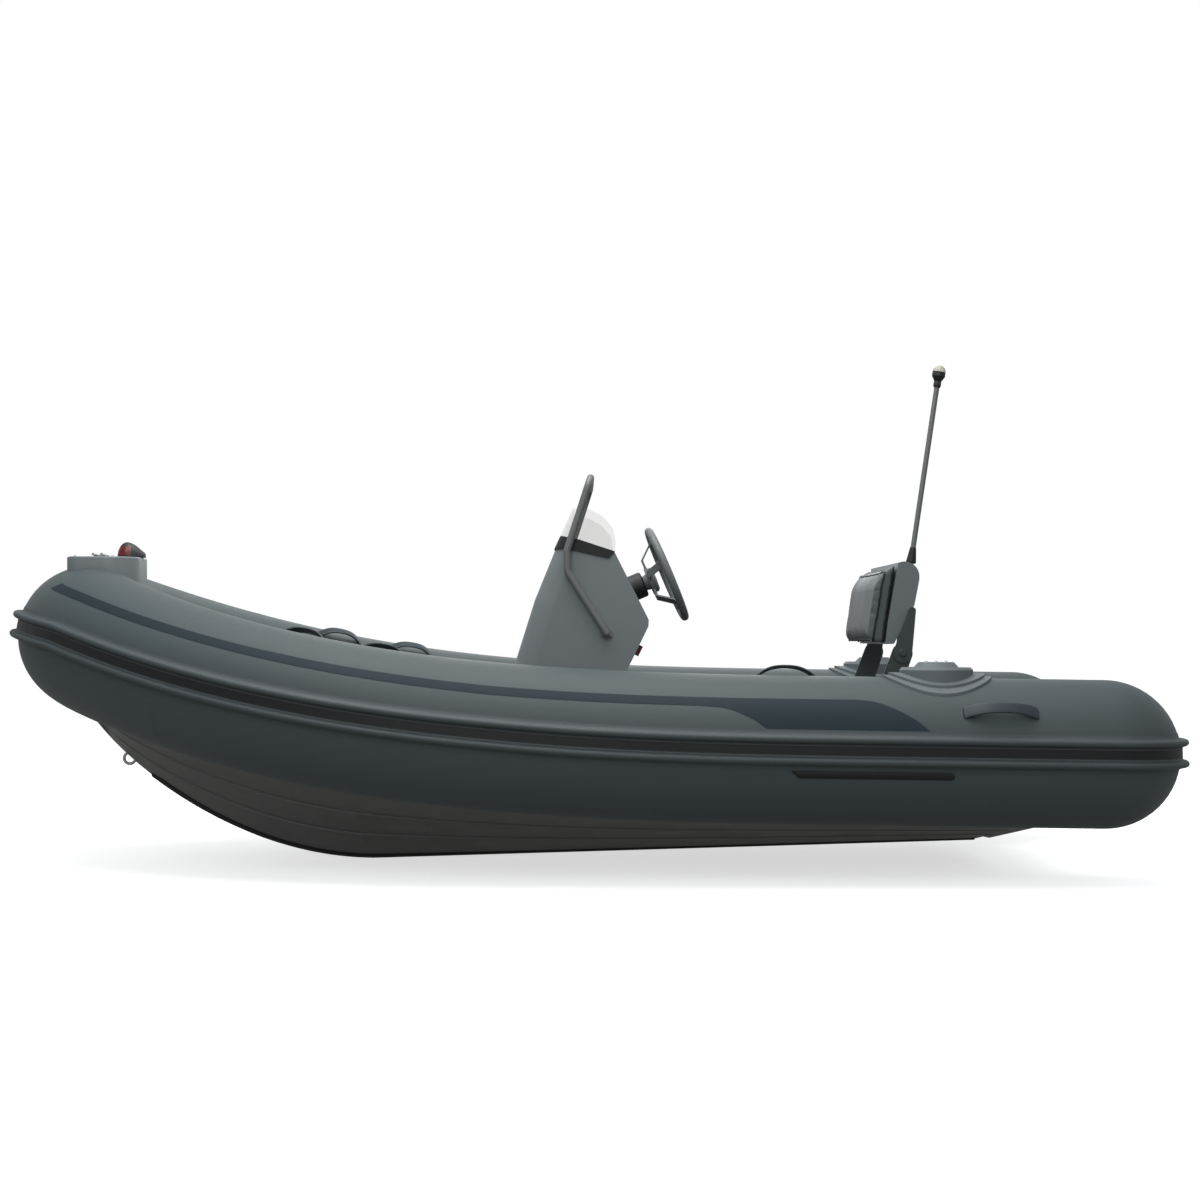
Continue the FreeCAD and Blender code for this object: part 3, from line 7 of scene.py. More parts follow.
import bmesh
import bpy
from bpy.props import FloatProperty, FloatVectorProperty, IntProperty, PointerProperty
from mathutils import Matrix, Vector
from mathutils.bvhtree import BVHTree


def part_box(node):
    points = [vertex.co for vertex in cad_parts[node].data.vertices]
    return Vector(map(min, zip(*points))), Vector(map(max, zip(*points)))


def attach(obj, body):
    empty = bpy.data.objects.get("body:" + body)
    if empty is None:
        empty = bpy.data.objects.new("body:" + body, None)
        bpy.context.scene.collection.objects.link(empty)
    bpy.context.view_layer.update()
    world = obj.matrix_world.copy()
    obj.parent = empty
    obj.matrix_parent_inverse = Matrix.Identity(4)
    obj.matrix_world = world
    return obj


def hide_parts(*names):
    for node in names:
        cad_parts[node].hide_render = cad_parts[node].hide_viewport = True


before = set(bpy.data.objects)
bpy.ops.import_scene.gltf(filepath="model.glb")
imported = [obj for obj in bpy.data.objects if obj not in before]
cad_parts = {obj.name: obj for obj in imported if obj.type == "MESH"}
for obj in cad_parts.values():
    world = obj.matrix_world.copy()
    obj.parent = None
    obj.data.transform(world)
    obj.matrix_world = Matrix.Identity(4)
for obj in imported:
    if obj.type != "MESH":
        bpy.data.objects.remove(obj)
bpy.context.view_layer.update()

bl_info = {
    "name": "Inflatable boat dresser",
    "version": (1, 0, 0),
    "blender": (4, 5, 0),
    "location": "View3D > Sidebar > Boat",
    "description": "Builds the fabric, rubber, padding and fittings of a rigid inflatable boat",
    "category": "Object",
}


def srgb(red, green, blue):
    """A display colour, 0 to 255 a channel, as the linear colour that shaders take."""
    def linear(level):
        level /= 255.0
        return level / 12.92 if level <= 0.04045 else ((level + 0.055) / 1.055) ** 2.4
    return linear(red), linear(green), linear(blue)


def colour(label, text, red, green, blue):
    """A colour property."""
    return FloatVectorProperty(name=label, description=text, subtype="COLOR", size=3, min=0.0, max=1.0,
                               default=srgb(red, green, blue))


def length(label, text, metres):
    """A length property."""
    return FloatProperty(name=label, description=text, default=metres, min=0.0,
                         unit="LENGTH", subtype="DISTANCE")


class BoatSizes(bpy.types.PropertyGroup):
    """Sizes of the trim that the dresser adds."""
    stripe_half_angle: FloatProperty(
        name="Stripe half width", description="Half width of the stripe round the tube",
        default=math.radians(4.1), min=0.0, subtype="ANGLE", unit="ROTATION")
    decal_thickness: length("Decal thickness", "How far the stripe stands off the tube", 0.0009)
    tape_width: length("Seam tape width", "Width of the tape over each chamber seam", 0.034)
    piping_radius: length("Piping radius", "Radius of the upholstery piping", 0.0034)
    stitch_pitch: length("Stitch pitch", "Distance from stitch to stitch", 0.0085)
    screw_radius: length("Screw radius", "Radius of a small screw head", 0.0045)
    bolt_radius: length("Bolt radius", "Radius of a bracket bolt's head", 0.0085)
    seat_swell: length("Seat swell", "The furthest that the seat cushion swells", 0.011)
    back_swell: length("Backrest swell", "The furthest that the backrest cushion swells", 0.009)
    cloth_steps: IntProperty(name="Cloth steps", description="Frames of padding simulation",
                             default=20, min=2)


class BoatColours(bpy.types.PropertyGroup):
    """Colours of the finishes."""
    tube: colour("Tube", "Coated fabric of the collar", 61, 71, 73)
    stripe: colour("Stripe", "Applied stripe and side panel", 33, 45, 50)
    rail: colour("Rail", "Rubber of the rub rail", 60, 68, 71)
    hull: colour("Hull", "Gelcoat of the bottom", 93, 96, 94)
    mould: colour("Mouldings", "Gelcoat of the console and the seat base", 106, 113, 115)
    deck: colour("Deck", "Gelcoat of the cockpit sole", 96, 101, 102)
    vinyl: colour("Vinyl", "Cover of the cushions", 74, 81, 84)
    pad: colour("Step pad", "Moulded pad on the tube", 94, 102, 105)
    black: colour("Black", "Rubber and plastic trim", 14, 17, 18)
    handle: colour("Handle", "Moulded rubber of the grab handles", 38, 48, 54)
    bracket: colour("Bracket", "Coated metal of the seat brackets", 48, 55, 56)
    pole: colour("Pole", "Coated metal of the pole and the handrail", 100, 102, 102)
    steel: colour("Steel", "Stainless steel", 176, 178, 180)
    screen: colour("Screen", "Tint of the clear screen", 140, 138, 133)


# Collar path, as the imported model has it
TUBE_OFFSET = 0.715
TUBE_RADIUS = 0.241
BOW_TUBE_RADIUS = 0.250
BOW_CENTRE_X = 1.712
NOSE_ARC = 0.313
ENTRY_X = 0.277
STERN_X = -1.729
TUBE_HEIGHT = 0.230
TRIM = 0.0142
SHEER_X = -0.913
SHEER_RISE = 0.335
CHAMBER_TURN = 62.0
RUN = BOW_CENTRE_X - NOSE_ARC - ENTRY_X
SIDE_ARC = (RUN ** 2 + TUBE_OFFSET ** 2 - NOSE_ARC ** 2) / (2.0 * (TUBE_OFFSET - NOSE_ARC))
NOSE_TURN = math.degrees(math.atan2(SIDE_ARC - TUBE_OFFSET, RUN))
TRANSOM_X = -1.500
KEEL_END_X = 1.502


def sheer_share(x):
    """How far x is along the rising part of the sheer."""
    return max(0.0, (x - SHEER_X) / (BOW_CENTRE_X - SHEER_X))


def tube_height(x):
    """Height of the tube's centreline."""
    return TUBE_HEIGHT + TRIM * (x - STERN_X) + SHEER_RISE * sheer_share(x) ** 3


def tube_slope(x):
    """Rise of the tube's centreline for each metre forward."""
    return TRIM + 3.0 * SHEER_RISE * sheer_share(x) ** 2 / (BOW_CENTRE_X - SHEER_X)


def tube_radius(x):
    """Radius of the tube, which swells a little towards the bow."""
    share = max(0.0, (x - ENTRY_X) / (BOW_CENTRE_X - ENTRY_X))
    return TUBE_RADIUS + (BOW_TUBE_RADIUS - TUBE_RADIUS) * share ** 2


class Section:
    """A cross-section of the collar."""

    def __init__(self, centre, outward, along, radius):
        self.centre = Vector(centre)
        self.outward = Vector(outward)
        self.along = Vector(along).normalized()
        self.up = self.outward.cross(self.along)
        self.radius = radius

    def point(self, angle, lift=0.0):
        """A point at an angle above the outer equator, off the tube by the lift."""
        return self.centre + self.normal(angle) * (self.radius + lift)

    def normal(self, angle):
        """The direction out of the tube at an angle."""
        turn = math.radians(angle)
        return self.outward * math.cos(turn) + self.up * math.sin(turn)


def bow_section(turn):
    """The section whose outward direction is turned from straight ahead."""
    cosine = math.cos(math.radians(turn))
    sine = math.sin(math.radians(turn))
    if abs(turn) <= NOSE_TURN:
        x = BOW_CENTRE_X - NOSE_ARC * (1.0 - cosine)
        y = NOSE_ARC * sine
    else:
        x = ENTRY_X + SIDE_ARC * cosine
        y = SIDE_ARC * sine - math.copysign(SIDE_ARC - TUBE_OFFSET, turn)
    along = (-sine, cosine, -tube_slope(x) * sine)
    return Section((x, y, tube_height(x)), (cosine, sine, 0.0), along, tube_radius(x))


def side_section(x, side):
    """A section of the straight side: side is 1 for port and -1 for starboard."""
    return Section((x, side * TUBE_OFFSET, tube_height(x)), (0.0, side, 0.0),
                   (-side, 0.0, -side * tube_slope(x)), TUBE_RADIUS)


def end_section(turn, side):
    """A section of the round stern end, turned past the beam."""
    first = side_section(STERN_X, side)
    cosine = math.cos(math.radians(turn))
    sine = math.sin(math.radians(turn)) * side
    return Section(first.centre, first.outward * cosine + first.along * sine,
                   first.along * cosine - first.outward * sine, TUBE_RADIUS)


def section_at(x, side):
    """The section whose centre stands at x."""
    if x <= ENTRY_X:
        return side_section(x, side)
    return bow_section(side * math.degrees(math.acos((x - ENTRY_X) / SIDE_ARC)))


def spread(first, last, count):
    """Evenly spaced numbers, both ends included."""
    return [first + (last - first) * step / (count - 1) for step in range(count)]


def turns_round(count):
    """Evenly spaced angles once round a circle."""
    return [2.0 * math.pi * step / count for step in range(count)]


def bow_run():
    """Sections of the bow chamber, from starboard to port."""
    half = spread(CHAMBER_TURN, NOSE_TURN, 16) + spread(NOSE_TURN, 0.0, 22)[1:]
    return [bow_section(-turn) for turn in half] + [bow_section(turn) for turn in reversed(half[:-1])]


def side_run(side):
    """Sections of a side chamber, from the stern to the bow seam."""
    sections = [side_section(x, side) for x in spread(STERN_X, ENTRY_X, 62)]
    return sections + [bow_section(side * turn) for turn in spread(90.0, CHAMBER_TURN, 36)[1:]]


def value_at(points, at):
    """The value at a place, read straight between (place, value) points in falling order of place."""
    if at >= points[0][0]:
        return points[0][1]
    for (first, low), (second, high) in zip(points, points[1:]):
        if at >= second:
            share = (first - at) / (first - second)
            return low + (high - low) * share
    return points[-1][1]


# Meshes
def new_piece(name, verts, faces, uvs=None, sharp=40.0):
    """A mesh object with outward faces, smooth but for its sharp edges."""
    mesh = bpy.data.meshes.new(name)
    mesh.from_pydata([tuple(vert) for vert in verts], [], faces)
    if uvs:
        layer = mesh.uv_layers.new(name="UVMap")
        layer.data.foreach_set("uv", [number for uv in uvs for number in uv])
    mesh.validate()
    work = bmesh.new()
    work.from_mesh(mesh)
    if work.calc_volume(signed=True) < 0.0:
        bmesh.ops.reverse_faces(work, faces=work.faces)
        work.to_mesh(mesh)
    work.free()
    return shown(name, mesh, sharp)


def linked(name, data):
    """An object of the data, put in the scene."""
    thing = bpy.data.objects.new(name, data)
    bpy.context.scene.collection.objects.link(thing)
    return thing


def shown(name, mesh, sharp=40.0):
    """Puts a mesh in the scene as a piece, smooth but for its sharp edges."""
    mesh.shade_smooth()
    mesh.set_sharp_from_angle(angle=math.radians(sharp))
    return linked(name, mesh)


def swept(name, rings, poles=(None, None), along=None, around=None, sharp=40.0):
    """A closed skin over rings of points, shut at each end by a fan to a pole or by a flat face."""
    count = len(rings[0])
    along = along or [float(index) for index in range(len(rings))]
    around = around or [float(index) for index in range(count + 1)]
    verts = [point for ring in rings for point in ring]
    faces = []
    uvs = []
    for row in range(len(rings) - 1):
        for column in range(count):
            after = (column + 1) % count
            faces.append((row * count + column, row * count + after,
                          (row + 1) * count + after, (row + 1) * count + column))
            uvs += [(along[row], around[column]), (along[row], around[column + 1]),
                    (along[row + 1], around[column + 1]), (along[row + 1], around[column])]
    for row, pole, flip in ((0, poles[0], True), (len(rings) - 1, poles[1], False)):
        ring = [row * count + column for column in range(count)]
        if pole is None:
            faces.append(tuple(reversed(ring)) if flip else tuple(ring))
            uvs += [(along[row], around[index % count]) for index in range(count)]
            continue
        verts.append(pole)
        for column in range(count):
            pair = (ring[column], ring[(column + 1) % count])
            pair = tuple(reversed(pair)) if flip else pair
            faces.append(pair + (len(verts) - 1,))
            uvs += [(along[row], around[column])] * 3
    return new_piece(name, verts, faces, uvs, sharp)


def distances(points):
    """Running length along points."""
    total = [0.0]
    for first, second in zip(points, points[1:]):
        total.append(total[-1] + (second - first).length)
    return total


def mirrored(points):
    """The points' images on the other side of the boat, last one first."""
    return [Vector((point.x, -point.y, point.z)) for point in reversed(points)]


def mesh_of(name, work):
    """A mesh of the work, which ends there."""
    mesh = bpy.data.meshes.new(name)
    work.to_mesh(mesh)
    work.free()
    return mesh


def merged(name, node):
    """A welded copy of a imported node's mesh."""
    work = bmesh.new()
    work.from_mesh(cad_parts[node].data)
    bmesh.ops.remove_doubles(work, verts=work.verts, dist=1e-5)
    return linked(name, mesh_of(name, work))


def settled(piece, name=None, sharp=40.0):
    """The piece with its modifiers made into plain mesh."""
    depsgraph = bpy.context.evaluated_depsgraph_get()
    mesh = bpy.data.meshes.new_from_object(piece.evaluated_get(depsgraph), depsgraph=depsgraph)
    name = name or piece.name
    bpy.data.objects.remove(piece)
    return shown(name, mesh, sharp)


def ring_skin(name, rings, shift=0):
    """A skin over a closed run of rings, whose last ring meets the first turned by a number of points."""
    count = len(rings[0])
    faces = []
    for row in range(len(rings)):
        follow = (row + 1) % len(rings)
        turn = 0 if follow else shift
        for column in range(count):
            after = column + 1
            faces.append((row * count + column, row * count + after % count,
                          follow * count + (after + turn) % count, follow * count + (column + turn) % count))
    return new_piece(name, [point for ring in rings for point in ring], faces)


def bead(name, points, radius, sides=10):
    """A round bead along a closed loop of points."""
    rings = []
    side = None
    for index, point in enumerate(points):
        ahead = (points[(index + 1) % len(points)] - points[index - 1]).normalized()
        side = side or ahead.orthogonal().normalized()
        side = (side - ahead * side.dot(ahead)).normalized()
        other = ahead.cross(side)
        rings.append([point + (side * math.cos(turn) + other * math.sin(turn)) * radius
                      for turn in turns_round(sides)])
    shift = min(range(sides), key=lambda step: (rings[-1][0] - rings[0][step]).length)
    return ring_skin(name, rings, shift)


# Node trees
class Signal:
    """A node's output, in which Python's operators stand for Math nodes."""

    def __init__(self, tree, socket):
        self.tree = tree
        self.socket = socket

    def other(self, output):
        """Another output of the same node."""
        return Signal(self.tree, self.socket.node.outputs[output])

    def math(self, operation, first, second):
        return self.tree.node("ShaderNodeMath", {"operation": operation}, {0: first, 1: second})

    def __add__(self, other):
        return self.math("ADD", self, other)

    def __sub__(self, other):
        return self.math("SUBTRACT", self, other)

    def __rsub__(self, other):
        return self.math("SUBTRACT", other, self)

    def __mul__(self, other):
        return self.math("MULTIPLY", self, other)

    __radd__ = __add__
    __rmul__ = __mul__


class Tree:
    """A node tree under construction."""
    prefix = ""

    def __init__(self, group):
        self.group = group

    def node(self, kind, settings=None, sockets=None, output=0):
        """Adds a node: first its settings, then the values or links of its sockets."""
        node = self.group.nodes.new(kind if "Node" in kind else self.prefix + kind)
        for key, value in (settings or {}).items():
            if key == "stops":
                while len(node.color_ramp.elements) < len(value):
                    node.color_ramp.elements.new(0.5)
                for element, (place, level) in zip(node.color_ramp.elements, value):
                    element.position = place
                    element.color = (level, level, level, 1.0)
            else:
                setattr(node, key, value)
        for key, value in (sockets or {}).items():
            self.feed(node.inputs[key], value)
        return Signal(self, node.outputs[output])

    def feed(self, socket, value):
        """Links a signal, or a list of them, to a socket, or sets the socket's own value."""
        if isinstance(value, (Signal, list)):
            for signal in value if isinstance(value, list) else [value]:
                self.group.links.new(signal.socket, socket)
        elif isinstance(value, tuple) and socket.type == "RGBA":
            socket.default_value = value[:3] + (1.0,)
        else:
            socket.default_value = value


class Paint(Tree):
    """A shader tree: a material's, unless another owner is given."""
    prefix = "ShaderNode"

    def __init__(self, name, owner=None, output="Material"):
        self.owner = owner or bpy.data.materials.new(name)
        self.owner.use_nodes = True
        super().__init__(self.owner.node_tree)
        self.group.nodes.clear()
        self.end = self.group.nodes.new("ShaderNodeOutput" + output)

    def place(self, scale=(1.0, 1.0, 1.0), uv=False):
        """Object or surface coordinates, scaled."""
        coordinates = self.node("TexCoord", output="UV" if uv else "Object")
        return self.node("Mapping", {}, {"Vector": coordinates, "Scale": scale})

    def noise(self, scale, detail=3.0, where=None, roughness=0.55):
        """Fractal noise from 0 to 1."""
        return self.node("TexNoise", {}, {
            "Vector": where or self.place(), "Scale": scale, "Detail": detail, "Roughness": roughness})

    def patches(self, noise, low, high):
        """Patches where the noise is high: 0 below the low level, 1 above the high one."""
        return self.ramp(noise, ((low, 0.0), (high, 1.0)))

    def cells(self, scale, feature="F1"):
        """Distance to scattered cells."""
        return self.node("TexVoronoi", {"feature": feature}, {"Vector": self.place(), "Scale": scale})

    def waves(self, direction, where, scale, **sockets):
        """Bands across the surface."""
        sockets.update({"Vector": where, "Scale": scale})
        return self.node("TexWave", {"bands_direction": direction}, sockets)

    def ramp(self, value, stops):
        """A value read through a ramp of grey stops."""
        return self.node("ValToRGB", {"stops": stops}, {"Fac": value})

    def seen(self):
        """One for rays from the camera and through the lenses, zero for the rest."""
        camera = self.node("LightPath", output="Is Camera Ray")
        return camera + camera.other("Is Transmission Ray")

    def shade(self, tint, level):
        """A colour made lighter or darker by a level about 1."""
        grey = self.node("CombineColor", {}, {"Red": level, "Green": level, "Blue": level})
        return self.node("Mix", {"data_type": "RGBA", "blend_type": "MULTIPLY"},
                         {"Factor": 1.0, 6: tint, 7: grey}, output=2)

    def bump(self, height, distance, strength=1.0, under=None):
        """A normal pushed about by a height."""
        sockets = {"Height": height, "Distance": distance, "Strength": strength}
        if under:
            sockets["Normal"] = under
        return self.node("Bump", {}, sockets)

    def close(self, shader):
        """Ends the tree with a shader."""
        self.feed(self.end.inputs["Surface"], shader)
        return self.owner

    def finish(self, sockets):
        """Ends the material with a Principled shader."""
        return self.close(self.node("BsdfPrincipled", {}, sockets))


def coated_fabric(name, tint, shine=0.35, sheen=0.06):
    """Coated boat fabric: a fine weave, faint clouding, and scuffs that catch the light."""
    paint = Paint(name)
    skin = paint.place(uv=True)
    warp = paint.waves("X", skin, 330.0, Distortion=0.6, Detail=1.0)
    weft = paint.waves("Y", skin, 330.0, Distortion=0.6, Detail=1.0)
    cloud = paint.noise(3.5, 4.0)
    grain = paint.noise(240.0, 2.0)
    scuff = paint.patches(paint.noise(1.0, 6.0, paint.place((9.0, 9.0, 34.0))), 0.60, 0.76)
    level = 0.93 + cloud * 0.10 + grain * 0.05 + scuff * 0.035
    weave = warp * weft * 0.5 + grain * 0.6
    soft = paint.bump(cloud, 0.004, 0.25)
    return paint.finish({
        "Base Color": paint.shade(tint, level),
        "Roughness": 0.50 + cloud * 0.12 + scuff * 0.06,
        "Normal": paint.bump(weave, 0.00022, 0.55, soft),
        "Specular IOR Level": shine,
        "Sheen Weight": sheen,
        "Sheen Roughness": 0.4,
    })


def rubber(name, tint, roughness=0.5):
    """Moulded rubber: a fine grain and chalky patches."""
    paint = Paint(name)
    cloud = paint.noise(9.0, 4.0)
    grain = paint.noise(520.0, 2.0)
    chalk = paint.patches(paint.noise(2.4, 7.0), 0.52, 0.72)
    return paint.finish({
        "Base Color": paint.shade(tint, 0.88 + cloud * 0.18 + chalk * 0.10),
        "Roughness": roughness + cloud * 0.14 + chalk * 0.08,
        "Normal": paint.bump(grain * 0.5, 0.0005, 0.5),
        "Specular IOR Level": 0.4,
    })


def gelcoat(name, tint, roughness):
    """Painted or gel-coated moulding: faint ripple under a gloss, dulled in patches."""
    paint = Paint(name)
    ripple = paint.noise(42.0, 2.0)
    cloud = paint.noise(2.2, 5.0)
    dull = paint.patches(paint.noise(5.0, 8.0), 0.48, 0.70)
    speck = paint.ramp(paint.cells(150.0), ((0.0, 1.0), (0.07, 0.0)))
    level = 0.95 + cloud * 0.09 + dull * 0.05 - speck * 0.04
    return paint.finish({
        "Base Color": paint.shade(tint, level),
        "Roughness": roughness + dull * 0.14 + cloud * 0.06,
        "Normal": paint.bump(ripple, 0.0006, 0.35),
        "Specular IOR Level": 0.45,
        "Coat Weight": 0.12,
        "Coat Roughness": 0.2,
    })


def deck_coat(name, tint):
    """Non-skid deck: raised diamonds over the gelcoat, greyer where feet have been."""
    paint = Paint(name)
    first = paint.waves("DIAGONAL", paint.place((1, 1, 0)), 26.0)
    second = paint.waves("DIAGONAL", paint.place((1, -1, 0)), 26.0)
    diamond = paint.patches(first * second, 0.30, 0.55)
    worn = paint.patches(paint.noise(2.8, 6.0), 0.45, 0.68)
    grit = paint.noise(600.0, 2.0)
    return paint.finish({
        "Base Color": paint.shade(tint, 0.90 + worn * 0.12 + grit * 0.06 - diamond * 0.05),
        "Roughness": 0.52 + grit * 0.2 - worn * 0.1,
        "Normal": paint.bump(diamond + grit * 0.3, 0.0009, 0.7),
        "Specular IOR Level": 0.4,
    })


def vinyl(name, tint):
    """Marine upholstery vinyl: pebbled grain, soft creases and a worn sheen."""
    paint = Paint(name)
    pebble = paint.cells(430.0, feature="SMOOTH_F1")
    crease = paint.noise(11.0, 6.0, roughness=0.65)
    sheen = paint.patches(paint.noise(3.0, 3.0), 0.40, 0.70)
    folds = paint.bump(crease, 0.0035, 0.30)
    return paint.finish({
        "Base Color": paint.shade(tint, 0.90 + crease * 0.14 + sheen * 0.05),
        "Roughness": 0.56 - sheen * 0.14 + crease * 0.08,
        "Normal": paint.bump(pebble, 0.0006, 0.55, folds),
        "Specular IOR Level": 0.4,
        "Sheen Weight": 0.05,
    })


def plastic(name, tint, roughness=0.42):
    """Moulded plastic with a spark-eroded grain and faint scratches."""
    paint = Paint(name)
    grain = paint.noise(700.0, 2.0)
    rub = paint.patches(paint.noise(1.0, 8.0, paint.place((60.0, 14.0, 14.0))), 0.56, 0.66)
    return paint.finish({
        "Base Color": paint.shade(tint, 0.94 + grain * 0.1 + rub * 0.12),
        "Roughness": roughness + grain * 0.12 - rub * 0.08,
        "Normal": paint.bump(grain, 0.0003, 0.4),
    })


def coated_metal(name, tint, roughness=0.38, metallic=0.0):
    """Powder-coated metal: a fine orange peel, edges and high spots rubbed bright."""
    paint = Paint(name)
    peel = paint.noise(260.0, 2.0)
    rubbed = paint.patches(paint.noise(18.0, 7.0), 0.58, 0.72)
    return paint.finish({
        "Base Color": paint.shade(tint, 0.94 + peel * 0.08 + rubbed * 0.14),
        "Roughness": roughness + peel * 0.08 - rubbed * 0.1,
        "Metallic": rubbed * 0.25 + metallic,
        "Normal": paint.bump(peel, 0.0003, 0.45),
    })


def bright_steel(name, tint):
    """Polished stainless steel with drawn lines and a few tea-stained spots."""
    paint = Paint(name)
    drawn = paint.noise(1.0, 4.0, paint.place((30.0, 900.0, 900.0)))
    stain = paint.patches(paint.noise(70.0, 5.0), 0.62, 0.78)
    return paint.finish({
        "Base Color": paint.shade(tint, 0.92 + drawn * 0.12 - stain * 0.22),
        "Roughness": 0.20 + drawn * 0.12 + stain * 0.2,
        "Metallic": 1.0,
        "Normal": paint.bump(drawn, 0.0001, 0.3),
    })


def clear_sheet(name, tint):
    """Clear acrylic sheet, faintly tinted, with fine hair scratches."""
    paint = Paint(name)
    hair = paint.patches(paint.noise(1.0, 5.0, paint.place((400.0, 12.0, 60.0))), 0.60, 0.66)
    return paint.finish({
        "Base Color": paint.shade(tint, 1.0 - hair * 0.03),
        "Roughness": 0.08 + hair * 0.05,
        "Alpha": 0.12 + hair * 0.02,
        "IOR": 1.49,
    })


def lens(name, tint, clear):
    """A moulded lamp lens with fine inner flutes."""
    paint = Paint(name)
    flute = paint.waves("Z", paint.place(), 190.0)
    haze = paint.noise(60.0, 3.0)
    return paint.finish({
        "Base Color": paint.shade(tint, 0.9 + haze * 0.15),
        "Roughness": 0.12 + haze * 0.1,
        "Transmission Weight": clear,
        "IOR": 1.49,
        "Normal": paint.bump(flute, 0.0004, 0.5),
    })


FINISH = {}


def make_finishes():
    """Makes each finish once."""
    colours = bpy.context.scene.boat_colours
    tint = {key: tuple(getattr(colours, key)) for key in BoatColours.__annotations__}
    FINISH.update({
        "tube": coated_fabric("tube_fabric", tint["tube"]),
        "stripe": coated_fabric("stripe_fabric", tint["stripe"], 0.15, 0.0),
        "rail": rubber("rail_rubber", tint["rail"]),
        "hull": gelcoat("hull_gelcoat", tint["hull"], 0.42),
        "mould": gelcoat("moulding_gelcoat", tint["mould"], 0.40),
        "deck": deck_coat("deck_coat", tint["deck"]),
        "vinyl": vinyl("seat_vinyl", tint["vinyl"]),
        "shell": gelcoat("backrest_moulding", srgb(98, 105, 107), 0.45),
        "pad": rubber("pad_rubber", tint["pad"], 0.55),
        "black_rubber": rubber("black_rubber", tint["black"], 0.45),
        "black_plastic": plastic("black_plastic", tint["black"]),
        "handle": rubber("handle_rubber", tint["handle"], 0.45),
        "bracket": coated_metal("bracket_coat", tint["bracket"]),
        "pole": coated_metal("pole_coat", tint["pole"], 0.34, 0.10),
        "wheel": rubber("wheel_grip", srgb(100, 104, 104), 0.40),
        "steel": bright_steel("bright_steel", tint["steel"]),
        "screen": clear_sheet("clear_screen", tint["screen"]),
        "globe": lens("globe_lens", srgb(196, 194, 176), 0.55),
        "red_lens": lens("port_lens", srgb(120, 16, 14), 0.35),
        "green_lens": lens("starboard_lens", srgb(10, 92, 52), 0.35),
        "red_plastic": plastic("switch_red", srgb(112, 18, 16), 0.35),
        "thread": rubber("seam_thread", srgb(40, 44, 46), 0.7),
    })


def dress(**finishes):
    """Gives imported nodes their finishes."""
    for node, finish in finishes.items():
        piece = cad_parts[node]
        if not piece.material_slots:
            piece.data.materials.append(None)
        for place in piece.material_slots:
            place.material = FINISH[finish]


def add(piece, finish, body="boat", replaces=(), others=()):
    """Finishes a new piece, whose faces may use other finishes too, and hangs it on its body."""
    indices = [face.material_index for face in piece.data.polygons]
    piece.data.materials.clear()
    for name in (finish,) + tuple(others):
        piece.data.materials.append(FINISH[name])
    if others:
        piece.data.polygons.foreach_set("material_index", indices)
    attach(piece, body)
    if replaces:
        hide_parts(*replaces)
    return piece


# Collar
AROUND = 80
ROUND = [360.0 * step / AROUND for step in range(AROUND)]
DOME_TURNS = spread(86.0, 5.0, 16)
TAPE_LIFT = 0.0004
SIDES = (("port", 1), ("starboard", -1))


def chamber(name, sections, cap_side=0):
    """One air chamber: a round skin through its sections, with a domed stern end."""
    rings = [[section.point(angle) for angle in ROUND] for section in sections]
    along = distances([section.centre for section in sections])
    first = sections[0]
    poles = [first.centre, sections[-1].centre]
    if cap_side:
        aft = first.along * cap_side
        domed = []
        for turn in DOME_TURNS:
            shrink = math.cos(math.radians(turn))
            centre = first.centre + aft * (first.radius * math.sin(math.radians(turn)))
            domed.append([centre + (point - first.centre) * shrink for point in rings[0]])
        rings = domed + rings
        along = [-first.radius * math.radians(turn) for turn in DOME_TURNS] + along
        poles[0] = first.centre + aft * first.radius
    around = [math.radians(angle) * TUBE_RADIUS for angle in ROUND + [360.0]]
    return swept(name, rings, poles, along, around, sharp=50.0)


def ring_tape(name, turn, width):
    """Seam tape round the tube where two chambers meet."""
    half = math.degrees(width / 2.0 / SIDE_ARC)
    edge = [(1.0, -0.0006), (1.0, TAPE_LIFT * 0.7), (0.93, TAPE_LIFT)]
    rings = []
    for offset, rise in [(-offset, rise) for offset, rise in edge] + edge[::-1]:
        section = bow_section(turn + half * offset)
        rings.append([section.point(angle, rise) for angle in ROUND])
    return ring_skin(name, rings)


STRIPE_TURN = 31.0
PANEL_X = -0.400
PANEL_END_X = -1.143
# Upper and lower edge of the panel: place along the boat and angle round the tube
PANEL_TOP = ((-0.400, 44.6), (-0.900, 44.9), (-0.945, 43.9), (-0.982, 41.4), (-1.036, 34.9), (-1.087, 27.2),
             (-1.144, 15.2))
PANEL_FOOT = ((-0.400, 36.5), (-0.473, 35.6), (-0.502, 33.9), (-0.529, 31.4), (-0.557, 28.2), (-0.585, 24.4),
              (-0.634, 15.2))


def rail_tilt(x):
    """Angle of the rail's middle above the tube's equator."""
    share = (x - STERN_X) / (BOW_CENTRE_X - STERN_X)
    return 2.5 + 8.0 * max(0.0, share) ** 3


def stripe_edges(turn, x, half):
    """Lower and upper angle of the stripe: round the bow at a turn, or along the side at x."""
    if x is None:
        middle = 40.0 + 12.0 * (90.0 - turn) / 60.0
        return middle - half, middle + half
    if x > PANEL_X:
        share = (ENTRY_X - x) / (ENTRY_X - PANEL_X)
        return 35.9 + 0.6 * share, 44.1 + 0.5 * share
    high = value_at(PANEL_TOP, x)
    return min(max(value_at(PANEL_FOOT, x), rail_tilt(x) + 12.0), high - 0.2), high


